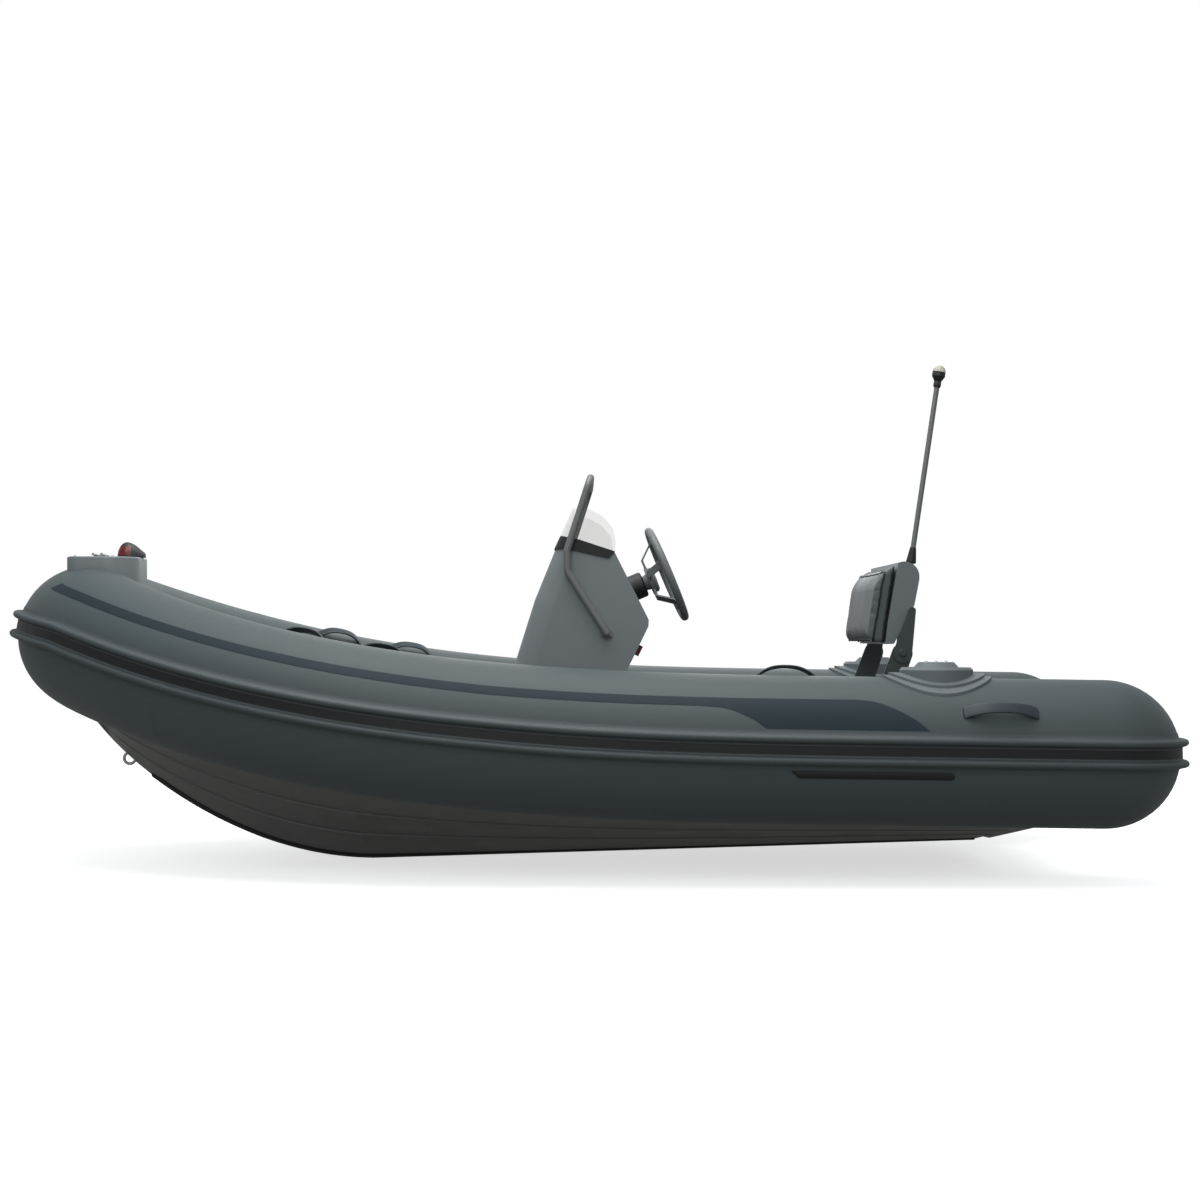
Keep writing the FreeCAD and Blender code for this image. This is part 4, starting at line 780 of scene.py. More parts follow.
def stripe(name, side, half, lift):
    """The applied stripe along a tube, which starts on a slant and widens aft into a swept panel."""
    rows = []
    runs = [(turn, None) for turn in spread(STRIPE_TURN, 90.0, 60)]
    runs += [(None, x) for x in spread(ENTRY_X, PANEL_END_X, 90)[1:]]
    for index, (turn, x) in enumerate(runs):
        low, high = stripe_edges(turn, x, math.degrees(half))
        top = []
        foot = []
        for step in spread(0.0, 1.0, 15):
            slant = 3.2 * step * max(0.0, 1.0 - index / 4.0)
            section = bow_section(side * (turn + slant)) if x is None else side_section(x, side)
            angle = low + (high - low) * step
            top.append(section.point(angle, lift))
            foot.append(section.point(angle, 0.0001))
        rows.append(top + foot[::-1])
    around = [step * 0.03 for step in range(len(rows[0]) + 1)]
    return swept(name, rows, along=distances([row[0] for row in rows]), around=around)


RAIL_HALF = (
    # distance from the rail's middle and height off the tube, from one edge
    (0.0500, 0.0000), (0.0494, 0.0042), (0.0472, 0.0064), (0.0446, 0.0071), (0.0434, 0.0092),
    (0.0426, 0.0150), (0.0418, 0.0205), (0.0396, 0.0250), (0.0360, 0.0281), (0.0318, 0.0290),
    (0.0276, 0.0281), (0.0240, 0.0250), (0.0218, 0.0205), (0.0208, 0.0150), (0.0198, 0.0098),
    (0.0180, 0.0074), (0.0140, 0.0068), (0.0070, 0.0066),
)
PAINTED_SHADE_GROOVE_START = 16  # points of the outline before the groove, whose faces are painted black as painted shade


def rail_ring(section):
    """The rub rail's outline on the tube: a band with two round ribs and a thin flange above them."""
    middle = rail_tilt(section.centre.x)
    profile = [(-offset, height) for offset, height in RAIL_HALF] + [(0.0, 0.0066)]
    profile += [(offset, height) for offset, height in reversed(RAIL_HALF[2:])]
    profile += [(0.0490, 0.0030), (0.0505, 0.0014), (0.0655, 0.0012), (0.0660, 0.0)]
    profile += [(offset, 0.0002) for offset in spread(0.055, -0.045, 8)]
    return [section.point(middle + math.degrees(offset / section.radius), height + 0.0003)
            for offset, height in profile]


def rail(name, sections):
    """A run of rub rail, its groove between the ribs painted black as painted shade in the recess."""
    rings = [rail_ring(section) for section in sections]
    piece = swept(name, rings, along=distances([section.centre for section in sections]), sharp=60.0)
    count = len(rings[0])
    # The groove's faces take the black second finish: painted shade between the ribs
    painted_shade_columns = range(PAINTED_SHADE_GROOVE_START, 2 * len(RAIL_HALF) - PAINTED_SHADE_GROOVE_START)
    for face in piece.data.polygons:
        columns = [index % count for index in face.vertices]
        if len(columns) == 4 and max(columns) - min(columns) == 1 and min(columns) in painted_shade_columns:
            face.material_index = 1
    return piece


# Hull
SOLE_TOP = 0.110
SOLE_FOOT = 0.098
KEEL_FOOT = -0.177
FOREFOOT_X = 0.700
WELL_END_X = 0.880
TRANSOM_RAKE = math.radians(12.0)
TRANSOM_THICKNESS = 0.045
SEAT_CLEAR = TUBE_RADIUS * (1.0 / math.cos(math.radians(10.0)) - 1.0) + 0.0009
SEAT_SPACE = 0.009
STRAKES = (0.36, 0.68)
STRAKE_WIDTH = 0.014
GUARD_EDGE = ((0.0, 1.0), (0.25, 0.98), (0.6, 0.9), (0.9, 0.72), (1.0, 0.35), (1.0, 0.0))


def keel_height(x):
    """Height of the keel line: nearly straight aft, and curved up forward to the stem."""
    ahead = x - FOREFOOT_X
    if ahead <= 0.0:
        return KEEL_FOOT - 0.03 * ahead
    return KEEL_FOOT + 0.450 * ahead ** 2 + 0.035 * ahead ** 10


def tube_line(x, angle, clear):
    """Where the line at an angle round the port tube crosses the plane at x."""
    if x <= ENTRY_X:
        past = side_section(x, 1).point(angle, clear).x - x
        point = side_section(x - past, 1).point(angle, clear)
        return Vector((x, point.y, point.z))
    if bow_section(0.0).point(angle, clear).x <= x:
        reach = BOW_TUBE_RADIUS + clear
        drop = math.sqrt(max(reach ** 2 - (x - BOW_CENTRE_X) ** 2, 0.0))
        return Vector((x, SEAT_SPACE, tube_height(BOW_CENTRE_X) - drop))
    low, high = 0.0, 90.0
    for _ in range(34):
        middle = (low + high) / 2.0
        if bow_section(middle).point(angle, clear).x > x:
            low = middle
        else:
            high = middle
    point = bow_section(low).point(angle, clear)
    return Vector((x, point.y, point.z))


def seat_points(x):
    """Three points of the hull's seat under the tube, from the chine inwards."""
    points = []
    for number, share in enumerate((1.0, 0.66, 0.33)):
        point = tube_line(x, -100.0 - 20.0 * number, SEAT_CLEAR)
        points.append(Vector((x, max(point.y, SEAT_SPACE * share), point.z + 0.001 - 0.001 * share)))
    return points


def cockpit_half_width(x):
    """Half width of the cockpit: clear of the tube at the sole's top, and inside the hull's skin."""
    drop = (tube_height(x) - SOLE_TOP) / (tube_radius(x) + 0.006)
    angle = -180.0 + math.degrees(math.asin(min(1.0, drop)))
    reach = tube_line(x, angle, 0.006).y
    chine = seat_points(x)[0]
    keel = keel_height(x)
    if chine.z > SOLE_FOOT:
        reach = min(reach, chine.y * (SOLE_FOOT - keel) / (chine.z - keel) - 0.025)
    return reach


def seat_crossing(seats, axis, value):
    """The point of the tube seat where one coordinate passes a value, or its inner end."""
    for first, second in zip(seats, seats[1:]):
        if (first[axis] - value) * (second[axis] - value) <= 0.0 and first[axis] != second[axis]:
            return first.lerp(second, (first[axis] - value) / (first[axis] - second[axis]))
    return seats[-1]


def seat_run(seats, end, count):
    """Evenly spread points along the tube seat from the chine to an end point on it."""
    path = [seats[0]] + [point for point in seats[1:] if point.y > end.y + 1e-5] + [end]
    places = distances(path)
    points = []
    for place in spread(0.0, places[-1], count):
        index = max(step for step in range(len(places) - 1) if places[step] <= place + 1e-9)
        run = max(places[index + 1] - places[index], 1e-9)
        points.append(path[index].lerp(path[index + 1], min(1.0, (place - places[index]) / run)))
    return points


def hull_half(x, well):
    """Half section of the hull: keel, two lifting strakes, chine, tube seat and cockpit well."""
    seats = seat_points(x)
    chine = seats[0]
    keel = Vector((x, 0.0, min(keel_height(x), chine.z - 0.004)))
    slope = (chine.z - keel.z) / chine.y
    points = [keel]
    for share in STRAKES:
        width = STRAKE_WIDTH * min(1.0, chine.y / 0.5)
        root = keel + (chine - keel) * share
        points += [root, root + Vector((0, width, 0)), root + Vector((0, width, width * slope))]
    end = seats[-1]
    wall = Vector((x, end.y * 0.96, end.z))
    foot = Vector((x, end.y * 0.94, end.z))
    if well and end.z > SOLE_FOOT:
        width = cockpit_half_width(x) + 0.012
        side = seat_crossing(seats, 1, width)
        if side.z > SOLE_FOOT:
            end = side
            wall = Vector((x, min(width, end.y) - 0.0002, end.z))
        else:
            end = seat_crossing(seats, 2, SOLE_FOOT)
            wall = Vector((x, end.y - 0.001, SOLE_FOOT))
        foot = Vector((x, wall.y - 0.001, SOLE_FOOT))
    return points + seat_run(seats, end, 7) + [wall, foot]


def hull_skin(name):
    """The bottom moulding, its aft end raked with the transom."""
    aft = TRANSOM_X + TRANSOM_THICKNESS
    front = TRANSOM_X + TRANSOM_THICKNESS / math.cos(TRANSOM_RAKE) + 0.0003
    stations = [(x, True) for x in spread(aft, WELL_END_X, 60)]
    stations += [(x, False) for x in spread(WELL_END_X + 0.0005, BOW_CENTRE_X, 56)]
    halves = [hull_half(x, well) for x, well in stations]
    keel = halves[0][0].z
    for point in halves[0]:
        point.x = front - math.tan(TRANSOM_RAKE) * (point.z - keel)
        point.z += tube_height(point.x) - tube_height(aft)
    return swept(name, [half + mirrored(half[1:]) for half in halves], sharp=24.0)


def keel_strip(name):
    """The rubber guard bent round the keel."""
    rings = []
    for x in spread(TRANSOM_X + 0.055, KEEL_END_X, 120):
        keel, root = hull_half(x, False)[:2]
        slope = (root.z - keel.z) / root.y
        width = min(0.034 * (0.55 + 0.45 * max(0.0, x / BOW_CENTRE_X)), root.y * 0.9)
        rise = (keel_height(x + 0.001) - keel_height(x - 0.001)) / 0.002
        drop = 0.005 * math.sqrt(1.0 + rise ** 2)
        if x > KEEL_END_X - 0.05:
            width *= math.sqrt(max(0.15, (KEEL_END_X + 0.002 - x) / 0.052))
        outline = [keel + Vector((0, width * share, width * share * slope - drop * depth - 0.0003))
                   for share, depth in GUARD_EDGE] + [keel - Vector((0, 0, 0.0003))]
        rings.append(outline + mirrored(outline[1:-1]))
    return swept(name, rings, sharp=50.0)


# Padding
PAD_VOXEL = 0.0065


def blow_up(piece, swell, steps):
    """Fills a piece with air as cloth, each point moved no further than the swell."""
    scene = bpy.context.scene
    before = [vertex.co.copy() for vertex in piece.data.vertices]
    cloth = piece.modifiers.new("Cloth", "CLOTH")
    cloth.settings.use_pressure = True
    cloth.settings.uniform_pressure_force = 4.0
    cloth.settings.effector_weights.gravity = 0.0
    cloth.point_cache.frame_start = 1
    cloth.point_cache.frame_end = steps
    for number in range(1, steps + 1):
        scene.frame_set(number)
    blown = piece.evaluated_get(bpy.context.evaluated_depsgraph_get()).data
    after = [vertex.co.copy() for vertex in blown.vertices]
    piece.modifiers.remove(cloth)
    scene.frame_set(1)
    for vertex, old, new in zip(piece.data.vertices, before, after):
        move = new - old
        if move.length > swell:
            move *= swell / move.length
        vertex.co = old + move


def held(piece, limit):
    """Keeps each point of a piece within a limit."""
    for vertex in piece.data.vertices:
        vertex.co = limit(vertex.co)


def puffed(name, node, swell, steps, limit):
    """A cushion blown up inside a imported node's outline."""
    piece = merged(name + "_form", node)
    low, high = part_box(node)
    middle = (low + high) / 2.0
    shrink = Matrix.Diagonal([1.0 - 1.5 * swell / side for side in high - low]).to_4x4()
    piece.data.transform(Matrix.Translation(middle) @ shrink @ Matrix.Translation(-middle))
    even = piece.modifiers.new("Even", "REMESH")
    even.mode = "VOXEL"
    even.voxel_size = PAD_VOXEL * 1.0
    piece = settled(piece, name)
    blow_up(piece, swell, steps)
    held(piece, limit)
    smooth = piece.modifiers.new("Round", "SUBSURF")
    smooth.levels = 1
    smooth.render_levels = 1
    piece = settled(piece, name)
    held(piece, limit)
    return piece


def sewn(piece, seams):
    """Draws the cover in along seams: each is (distance from the seam, depth direction, width, depth)."""
    for vertex in piece.data.vertices:
        for distance, direction, width, depth in seams:
            gap = distance(vertex.co)
            if abs(gap) < width * 3.0:
                vertex.co += direction(vertex.co) * (depth * math.exp(-(gap / width) ** 2))
    piece.data.update()


def on_surface(piece, points, lift=0.0):
    """The points moved on to the nearest place of a piece, off it by the lift."""
    tree = BVHTree.FromObject(piece, bpy.context.evaluated_depsgraph_get())
    moved = []
    for point in points:
        place, normal, _, _ = tree.find_nearest(point)
        moved.append(place + normal * lift)
    return moved


# Geometry Nodes
class Grower(Tree):
    """A geometry tree with named inputs, a material among them."""
    prefix = "GeometryNode"

    def __init__(self, name, inputs):
        super().__init__(bpy.data.node_groups.new(name, "GeometryNodeTree"))
        face = self.group.interface
        self.names = {}
        inputs = (("Geometry", "Geometry", None),) + inputs + (("Material", "Material", None),)
        for label, kind, value in inputs:
            socket = face.new_socket(label, in_out="INPUT", socket_type="NodeSocket" + kind)
            if value is not None:
                socket.default_value = value
            self.names[label] = socket.identifier
        face.new_socket("Geometry", in_out="OUTPUT", socket_type="NodeSocketGeometry")
        self.entry = self.node("NodeGroupInput")

    def close(self, geometry):
        """Realizes the instances, gives them the material and ends the tree."""
        real = self.node("RealizeInstances", {}, {"Geometry": geometry})
        smooth = self.node("SetShadeSmooth", {}, {"Geometry": real})
        done = self.node("SetMaterial", {}, {"Geometry": smooth, "Material": self.entry.other("Material")})
        self.feed(self.group.nodes.new("NodeGroupOutput").inputs["Geometry"], done)
        return self

    def grow(self, name, mesh, values):
        """Runs the tree over a mesh and returns the plain mesh piece."""
        base = linked(name + "_base", mesh)
        modifier = base.modifiers.new("Grow", "NODES")
        modifier.node_group = self.group
        for label, value in values.items():
            modifier[self.names[label]] = value
        return settled(base, name, 35.0)


def head_tree():
    """Fastener heads on points: a washer and a flanged head on it, faced along each point's normal."""
    tree = Grower("Heads", (("Radius", "Float", 0.005), ("Sides", "Int", 6)))
    radius = tree.entry.other("Radius")
    washer = tree.node("MeshCone", {"fill_type": "NGON"}, {
        "Vertices": 18, "Radius Top": radius * 1.25, "Radius Bottom": radius * 1.42, "Depth": radius * 0.22})
    head = tree.node("MeshCone", {"fill_type": "NGON"}, {
        "Vertices": tree.entry.other("Sides"), "Radius Top": radius * 0.86, "Radius Bottom": radius,
        "Depth": radius * 0.72})
    seat = tree.node("ShaderNodeCombineXYZ", {}, {"Z": radius * 0.2})
    raised = tree.node("Transform", {}, {"Geometry": head, "Translation": seat})
    both = tree.node("JoinGeometry", {}, {"Geometry": [washer, raised]})
    facing = tree.node("InputNamedAttribute", {"data_type": "FLOAT_VECTOR"}, {"Name": "facing"})
    turn = tree.node("FunctionNodeAlignRotationToVector", {"axis": "Z"}, {"Vector": facing})
    return tree.close(tree.node("InstanceOnPoints", {}, {
        "Points": tree.entry.other("Geometry"), "Instance": both, "Rotation": turn}))


def stitch_tree():
    """Thread stitches along a line, each a short round bar, a step apart."""
    tree = Grower("Stitches", (("Pitch", "Float", 0.008), ("Radius", "Float", 0.0007)))
    pitch = tree.entry.other("Pitch")
    curve = tree.node("MeshToCurve", {}, {"Mesh": tree.entry.other("Geometry")})
    dots = tree.node("CurveToPoints", {"mode": "LENGTH"}, {"Curve": curve, "Length": pitch})
    bar = tree.node("MeshCylinder", {"fill_type": "NGON"}, {
        "Vertices": 7, "Radius": tree.entry.other("Radius"), "Depth": pitch * 0.66})
    turn = tree.node("FunctionNodeAlignRotationToVector", {"axis": "Z"}, {"Vector": dots.other("Tangent")})
    return tree.close(tree.node("InstanceOnPoints", {}, {"Points": dots, "Instance": bar, "Rotation": turn}))


def heads(name, places, radius, sides, finish, body="boat"):
    """Fasteners at places: each is (point, direction it faces)."""
    mesh = bpy.data.meshes.new(name)
    mesh.from_pydata([tuple(point) for point, _ in places], [], [])
    facing = mesh.attributes.new("facing", "FLOAT_VECTOR", "POINT")
    facing.data.foreach_set("vector", [number for _, way in places for number in way])
    piece = head_tree().grow(name, mesh, {"Radius": radius, "Sides": sides, "Material": FINISH[finish]})
    return add(piece, finish, body)


def stitches(name, lines, pitch, body):
    """Stitching along lines of points."""
    verts = [tuple(point) for line in lines for point in line]
    edges = []
    start = 0
    for line in lines:
        edges += [(start + index, start + index + 1) for index in range(len(line) - 1)]
        start += len(line)
    mesh = bpy.data.meshes.new(name)
    mesh.from_pydata(verts, edges, [])
    piece = stitch_tree().grow(name, mesh, {"Pitch": pitch, "Material": FINISH["thread"]})
    return add(piece, "thread", body)


class BOAT_OT_collar(bpy.types.Operator):
    """Builds the three air chambers, the seam tapes and the side stripes"""
    bl_idname = "boat.collar"
    bl_label = "Collar"

    def execute(self, context):
        sizes = context.scene.boat_sizes
        add(chamber("bow_chamber", bow_run()), "tube", replaces=("collar_bow",))
        for name, side in SIDES:
            skin = chamber(name + "_chamber", side_run(side), side)
            add(skin, "tube", replaces=("collar_" + name,))
            tape = ring_tape("seam_tape_" + name, side * CHAMBER_TURN, sizes.tape_width)
            add(tape, "tube")
            band = stripe("side_stripe_" + name, side, sizes.stripe_half_angle, sizes.decal_thickness)
            add(band, "stripe")
        return {"FINISHED"}


class BOAT_OT_rub_rail(bpy.types.Operator):
    """Builds the two-ribbed rub rail round the collar"""
    bl_idname = "boat.rub_rail"
    bl_label = "Rub rail"

    def execute(self, context):
        runs = {"bow": bow_run()}
        for name, side in SIDES:
            ends = [end_section(turn, side) for turn in spread(98.0, 0.0, 30)[:-1]]
            runs[name] = ends + side_run(side)
        for name, sections in runs.items():
            piece = rail(name + "_rail", sections)
            # The black second finish is painted shade in the groove between the rail's ribs
            add(piece, "rail", replaces=("rub_rail_" + name,), others=("black_rubber",))
        return {"FINISHED"}


class BOAT_OT_hull(bpy.types.Operator):
    """Builds the bottom moulding and its keel guard, and finishes the transom, the sole and the locker"""
    bl_idname = "boat.hull"
    bl_label = "Hull"

    def execute(self, context):
        add(hull_skin("bottom_moulding"), "hull", replaces=("hull",))
        add(keel_strip("keel_strip"), "black_rubber", replaces=("keel_guard",))
        dress(transom="hull", motor_plate="black_plastic", cockpit_sole="deck",
              bow_locker="mould", bow_locker_lid="deck", locker_hinges="steel")
        return {"FINISHED"}


# Handles: place along the boat, angle round the tube and span
HANDLES = ((0.965, 118.0, 0.165), (0.675, 118.0, 0.165), (-1.355, 34.0, 0.235))
PORT_HANDLE = (-0.700, 102.0, 0.190)
HANDLE_WIDTH = 0.043
HANDLE_RISE = 0.038
HANDLE_HALF_THICKNESS = 0.0040


def handle_shape(name, section, angle, span):
    """A strap handle: two flat feet and a smoothly arched grip."""
    out = section.normal(angle)
    along = section.along
    across = out.cross(along)
    origin = section.point(angle)
    half = span / 2.0
    spine = []
    for share in spread(-1.0, 1.0, 61):
        lift = max(0.0, 1.0 - (abs(share) / 0.94) ** 2.6)
        foot = -0.004 if abs(share) > 0.97 else 0.0034
        spine.append(Vector((half * share, 0.0, foot + (HANDLE_RISE - 2.0 * HANDLE_HALF_THICKNESS) * lift)))
    rings = []
    for index, point in enumerate(spine):
        ahead = (spine[min(index + 1, len(spine) - 1)] - spine[max(index - 1, 0)]).normalized()
        lift = Vector((-ahead.z, 0.0, ahead.x))
        place = abs(point.x) / half
        wide = HANDLE_WIDTH / 2.0 * (1.0 if place > 0.8 else 0.86 + 0.14 * (place / 0.8) ** 2)
        wide *= min(1.0, 0.80 + 6.0 * (1.0 - place))
        ring = []
        for turn in turns_round(16):
            side = math.copysign(abs(math.cos(turn)) ** 0.5, math.cos(turn)) * wide
            high = math.copysign(abs(math.sin(turn)) ** 0.6, math.sin(turn)) * HANDLE_HALF_THICKNESS
            local = point + lift * high
            ring.append(origin + along * local.x + across * side + out * local.z)
        rings.append(ring)
    poles = [sum(ring, Vector()) / len(ring) for ring in (rings[0], rings[-1])]
    return swept(name, rings, poles, sharp=50.0)


def joined(name, pieces):
    """Several pieces made one mesh object."""
    work = bmesh.new()
    for piece in pieces:
        work.from_mesh(piece.data)
        bpy.data.objects.remove(piece)
    return shown(name, mesh_of(name, work))


STRIP = (
    # place along the boat, lower and upper edge by angle: a slanted forward end and a round aft one
    (-0.697, -13.4, -12.8), (-0.719, -18.2, -12.8), (-1.1950, -18.2, -12.8), (-1.2005, -17.9, -13.1),
    (-1.2040, -17.2, -13.8), (-1.2060, -16.2, -14.8),
)


def chafe_strip(name, side):
    """The thin strip low on the outside of the tube."""
    rings = []
    for x, low, high in STRIP:
        section = side_section(x, side)
        edge = 0.15 * (high - low)
        face = [section.point(angle, lift) for angle, lift in
                ((low, 0.0030), (low + edge, 0.0050), (high - edge, 0.0050), (high, 0.0030))]
        rings.append(face + [section.point(angle, 0.0003) for angle in (high, low)])
    return swept(name, rings)


class BOAT_OT_handles(bpy.types.Operator):
    """Builds the grab handles and the chafe strips and finishes the valves"""
    bl_idname = "boat.handles"
    bl_label = "Handles"

    def execute(self, context):
        for name, side in SIDES:
            places = HANDLES + (PORT_HANDLE,) if side > 0 else HANDLES
            made = [handle_shape("handle", section_at(x, side), angle, span) for x, angle, span in places]
            piece = joined("strap_handles_" + name, made)
            add(piece, "handle", replaces=("grab_handles_" + name,))
            strip = chafe_strip("stern_strip_" + name, side)
            add(strip, "black_rubber", replaces=("chafe_strip_" + name,))
        dress(inflation_valves="black_plastic")
        return {"FINISHED"}


class BOAT_OT_pads(bpy.types.Operator):
    """Finishes the stepped pads over the side tubes"""
    bl_idname = "boat.pads"
    bl_label = "Step pads"

    def execute(self, context):
        dress(step_pad_port="pad", step_pad_starboard="pad")
        return {"FINISHED"}


class BOAT_OT_console(bpy.types.Operator):
    """Finishes the console, its screen, handrail and helm"""
    bl_idname = "boat.console"
    bl_label = "Console"

    def execute(self, context):
        dress(console="mould", windscreen="screen", windscreen_gasket="black_rubber",
              handrail="pole", helm_bezel="black_plastic", stop_switch="red_plastic",
              steering_wheel="wheel", wheel_cap="wheel")
        return {"FINISHED"}


def shell_face(z):
    """Where the backrest's moulded shell begins, at a height."""
    return -1.087 - 0.1706 * (z - 0.651)


def fade(point, half):
    """How deep a seam is drawn in: fully but for the last few centimetres at each end."""
    return min(1.0, max(0.0, (half - 0.012 - abs(point.y)) / 0.030))


SEAT_SEAMS = (-0.085, 0.085)
SEAM_WIDTH = 0.007
SEAM_DEPTH = 0.0065
SEAM_TOP_BAND = 0.030
STITCH_OFFSET = 0.010
PIPING = ((0.003, 0.855), (0.041, 0.835))
PIPING_CORNER = 0.030


def piping_loop(foot, top, half, ahead):
    """A loop with round corners round the backrest's cushion, a step ahead of the shell's face."""
    corner = PIPING_CORNER
    inner = half - corner
    turns = spread(0.15, math.pi / 2.0, 8)
    rise = spread(foot + corner, top - corner, 26)
    shoulder = [(inner + corner * math.cos(turn), top - corner + corner * math.sin(turn)) for turn in turns]
    outline = [(half, z) for z in rise] + shoulder
    outline += [(y, top) for y in spread(inner, -inner, 50)[1:-1]]
    outline += [(-y, z) for y, z in shoulder[::-1]] + [(-half, z) for z in rise[::-1]]
    outline += [(-inner - corner * math.cos(turn), foot + corner - corner * math.sin(turn)) for turn in turns]
    outline += [(y, foot) for y in spread(-inner, inner, 50)[1:-1]]
    outline += [(inner + corner * math.sin(turn), foot + corner - corner * math.cos(turn)) for turn in turns]
    return [Vector((shell_face(z) + ahead, y, z)) for y, z in outline]


class BOAT_OT_seat(bpy.types.Operator):
    """Builds the padded seat and backrest, with their piping and stitches"""
    bl_idname = "boat.seat"
    bl_label = "Helm seat"

    def execute(self, context):
        sizes = context.scene.boat_sizes
        self.seat(sizes)
        self.back(sizes)
        dress(seat_box="mould", backrest_shell="shell")
        for name, _ in SIDES:
            dress(**{"seat_plate_" + name: "bracket", "backrest_arm_" + name: "bracket"})
        return {"FINISHED"}

    def seat(self, sizes):
        """The seat's cushion, drawn in along two stitched seams."""
        low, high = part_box("seat_cushion")

        def on_box(point):
            return Vector((point.x, point.y, max(point.z, low.z)))

        def sink(point):
            deep = point.z > low.z + SEAM_TOP_BAND
            return Vector((0.0, 0.0, -1.0)) * fade(point, high.y) if deep else Vector()

        seat = puffed("seat_pad", "seat_cushion", sizes.seat_swell, sizes.cloth_steps, on_box)
        lines = [(low.x + high.x) / 2.0 + offset for offset in SEAT_SEAMS]
        sewn(seat, [(lambda point, x=x: point.x - x, sink, SEAM_WIDTH, SEAM_DEPTH) for x in lines])
        add(seat, "vinyl", replaces=("seat_cushion",))
        seams = []
        for x in lines:
            for offset in (-STITCH_OFFSET, STITCH_OFFSET):
                row = [Vector((x + offset, y, high.z)) for y in spread(low.y + 0.03, high.y - 0.03, 60)]
                seams.append(on_surface(seat, row, 0.0004))
        stitches("seat_stitches", seams, sizes.stitch_pitch, "boat")

    def back(self, sizes):
        """The backrest's cushion, with two runs of piping."""
        low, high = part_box("backrest_cushion")

        def before_shell(point):
            return Vector((max(point.x, shell_face(point.z) + 0.0004), point.y, point.z))

        back = puffed("back_pad", "backrest_cushion", sizes.back_swell, sizes.cloth_steps, before_shell)
        add(back, "vinyl", "backrest", replaces=("backrest_cushion",))
        for number, (ahead, top) in enumerate(PIPING, 1):
            loop = on_surface(back, piping_loop(low.z + 0.004, top, high.y, ahead), 0.0012)
            piping = bead("back_piping_%d" % number, loop, sizes.piping_radius)
            add(piping, "black_rubber", "backrest")


class BOAT_OT_light(bpy.types.Operator):
    """Finishes the stanchion, the pole and the all-round light"""
    bl_idname = "boat.light"
    bl_label = "Light pole"

    def execute(self, context):
        dress(stanchion_base="black_plastic", light_stanchion="pole", pole_collar="black_rubber",
              light_pole="pole", light_base="black_plastic", light_lens="globe")
        return {"FINISHED"}


BOW_LIGHT = (
    # place, half width and height of each section, from the tail to the rounded front
    (1.525, 0.012, 0.016), (1.540, 0.019, 0.028), (1.562, 0.029, 0.046), (1.588, 0.034, 0.056),
    (1.606, 0.031, 0.050), (1.618, 0.022, 0.034), (1.6225, 0.013, 0.019), (1.6240, 0.006, 0.009),
)
LENS_AFT = 1.572
LENS_GAP = 0.0035
LENS_BAND = (0.009, 0.041)


def between(points, count):
    """Smooth points through others, with a number of steps from one to the next."""
    smooth = []
    for index in range(len(points) - 1):
        before = points[max(index - 1, 0)]
        first, second = points[index], points[index + 1]
        after = points[min(index + 2, len(points) - 1)]
        for share in [step / count for step in range(count)]:
            smooth.append(0.5 * (2.0 * first + (second - before) * share
                                 + (2.0 * before - 5.0 * first + 4.0 * second - after) * share ** 2
                                 + (3.0 * first - before - 3.0 * second + after) * share ** 3))
    return smooth + [points[-1]]


def bow_light(name):
    """A teardrop lamp: a black body with a lens on each side of its front."""
    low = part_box("nav_light")[0].z
    rings = []
    for x, half, height in between([Vector(row) for row in BOW_LIGHT], 5):
        rings.append([Vector((x, half * math.cos(turn), low + height * math.sin(turn)))
                      for turn in spread(0.0, math.pi, 25)])
    lamp = swept(name, rings, sharp=60.0)
    for face in lamp.data.polygons:
        place = face.center
        if place.x > LENS_AFT and abs(place.y) > LENS_GAP and LENS_BAND[0] < place.z - low < LENS_BAND[1]:
            face.material_index = 1 if place.y > 0.0 else 2
    return lamp


STEP_AFT = 1.532
STEP_FORE = 1.775
STEP_HALF = 0.165
STEP_TOP = 0.893
STEP_FOOT = 0.718
STEP_RIM = 0.006
AFT_CORNER = 0.115
FORE_CORNER = 0.045


def step_plan(inset, z):
    """The bow step's outline at a height, drawn in by the inset."""
    outline = []
    for x, side, radius, start in (
        (STEP_FORE - FORE_CORNER, 1, FORE_CORNER, 0.0),
        (STEP_AFT + AFT_CORNER, 1, AFT_CORNER, 90.0),
        (STEP_AFT + AFT_CORNER, -1, AFT_CORNER, 180.0),
        (STEP_FORE - FORE_CORNER, -1, FORE_CORNER, 270.0),
    ):
        centre = Vector((x, side * (STEP_HALF - radius), z))
        for turn in spread(start, start + 90.0, 13):
            turn = math.radians(turn)
            outline.append(centre + Vector((math.cos(turn), math.sin(turn), 0.0)) * (radius - inset))
    return outline


def bow_step(name):
    """The moulded step, cut to sit on the bow chamber, its aft corners well rounded."""
    rings = [step_plan(0.0, STEP_FOOT)]
    for turn in spread(0.0, math.pi / 2.0, 5):
        height = STEP_TOP - STEP_RIM * (1.0 - math.sin(turn))
        rings.append(step_plan(STEP_RIM * (1.0 - math.cos(turn)), height))
    block = swept(name, rings)
    seat = block.modifiers.new("seat", "BOOLEAN")
    seat.operation = "DIFFERENCE"
    seat.solver = "EXACT"
    seat.object = bpy.data.objects["bow_chamber"]
    return settled(block)


class BOAT_OT_bow_fittings(bpy.types.Operator):
    """Builds the step and the bow light and finishes the cleat and the towing eye"""
    bl_idname = "boat.bow_fittings"
    bl_label = "Bow fittings"

    def execute(self, context):
        add(bow_step("bow_step_moulding"), "mould", replaces=("bow_step",))
        dress(bow_cleat="steel", bow_eye="steel")
        add(bow_light("bow_light"), "black_plastic", replaces=("nav_light",),
            others=("red_lens", "green_lens"))
        return {"FINISHED"}


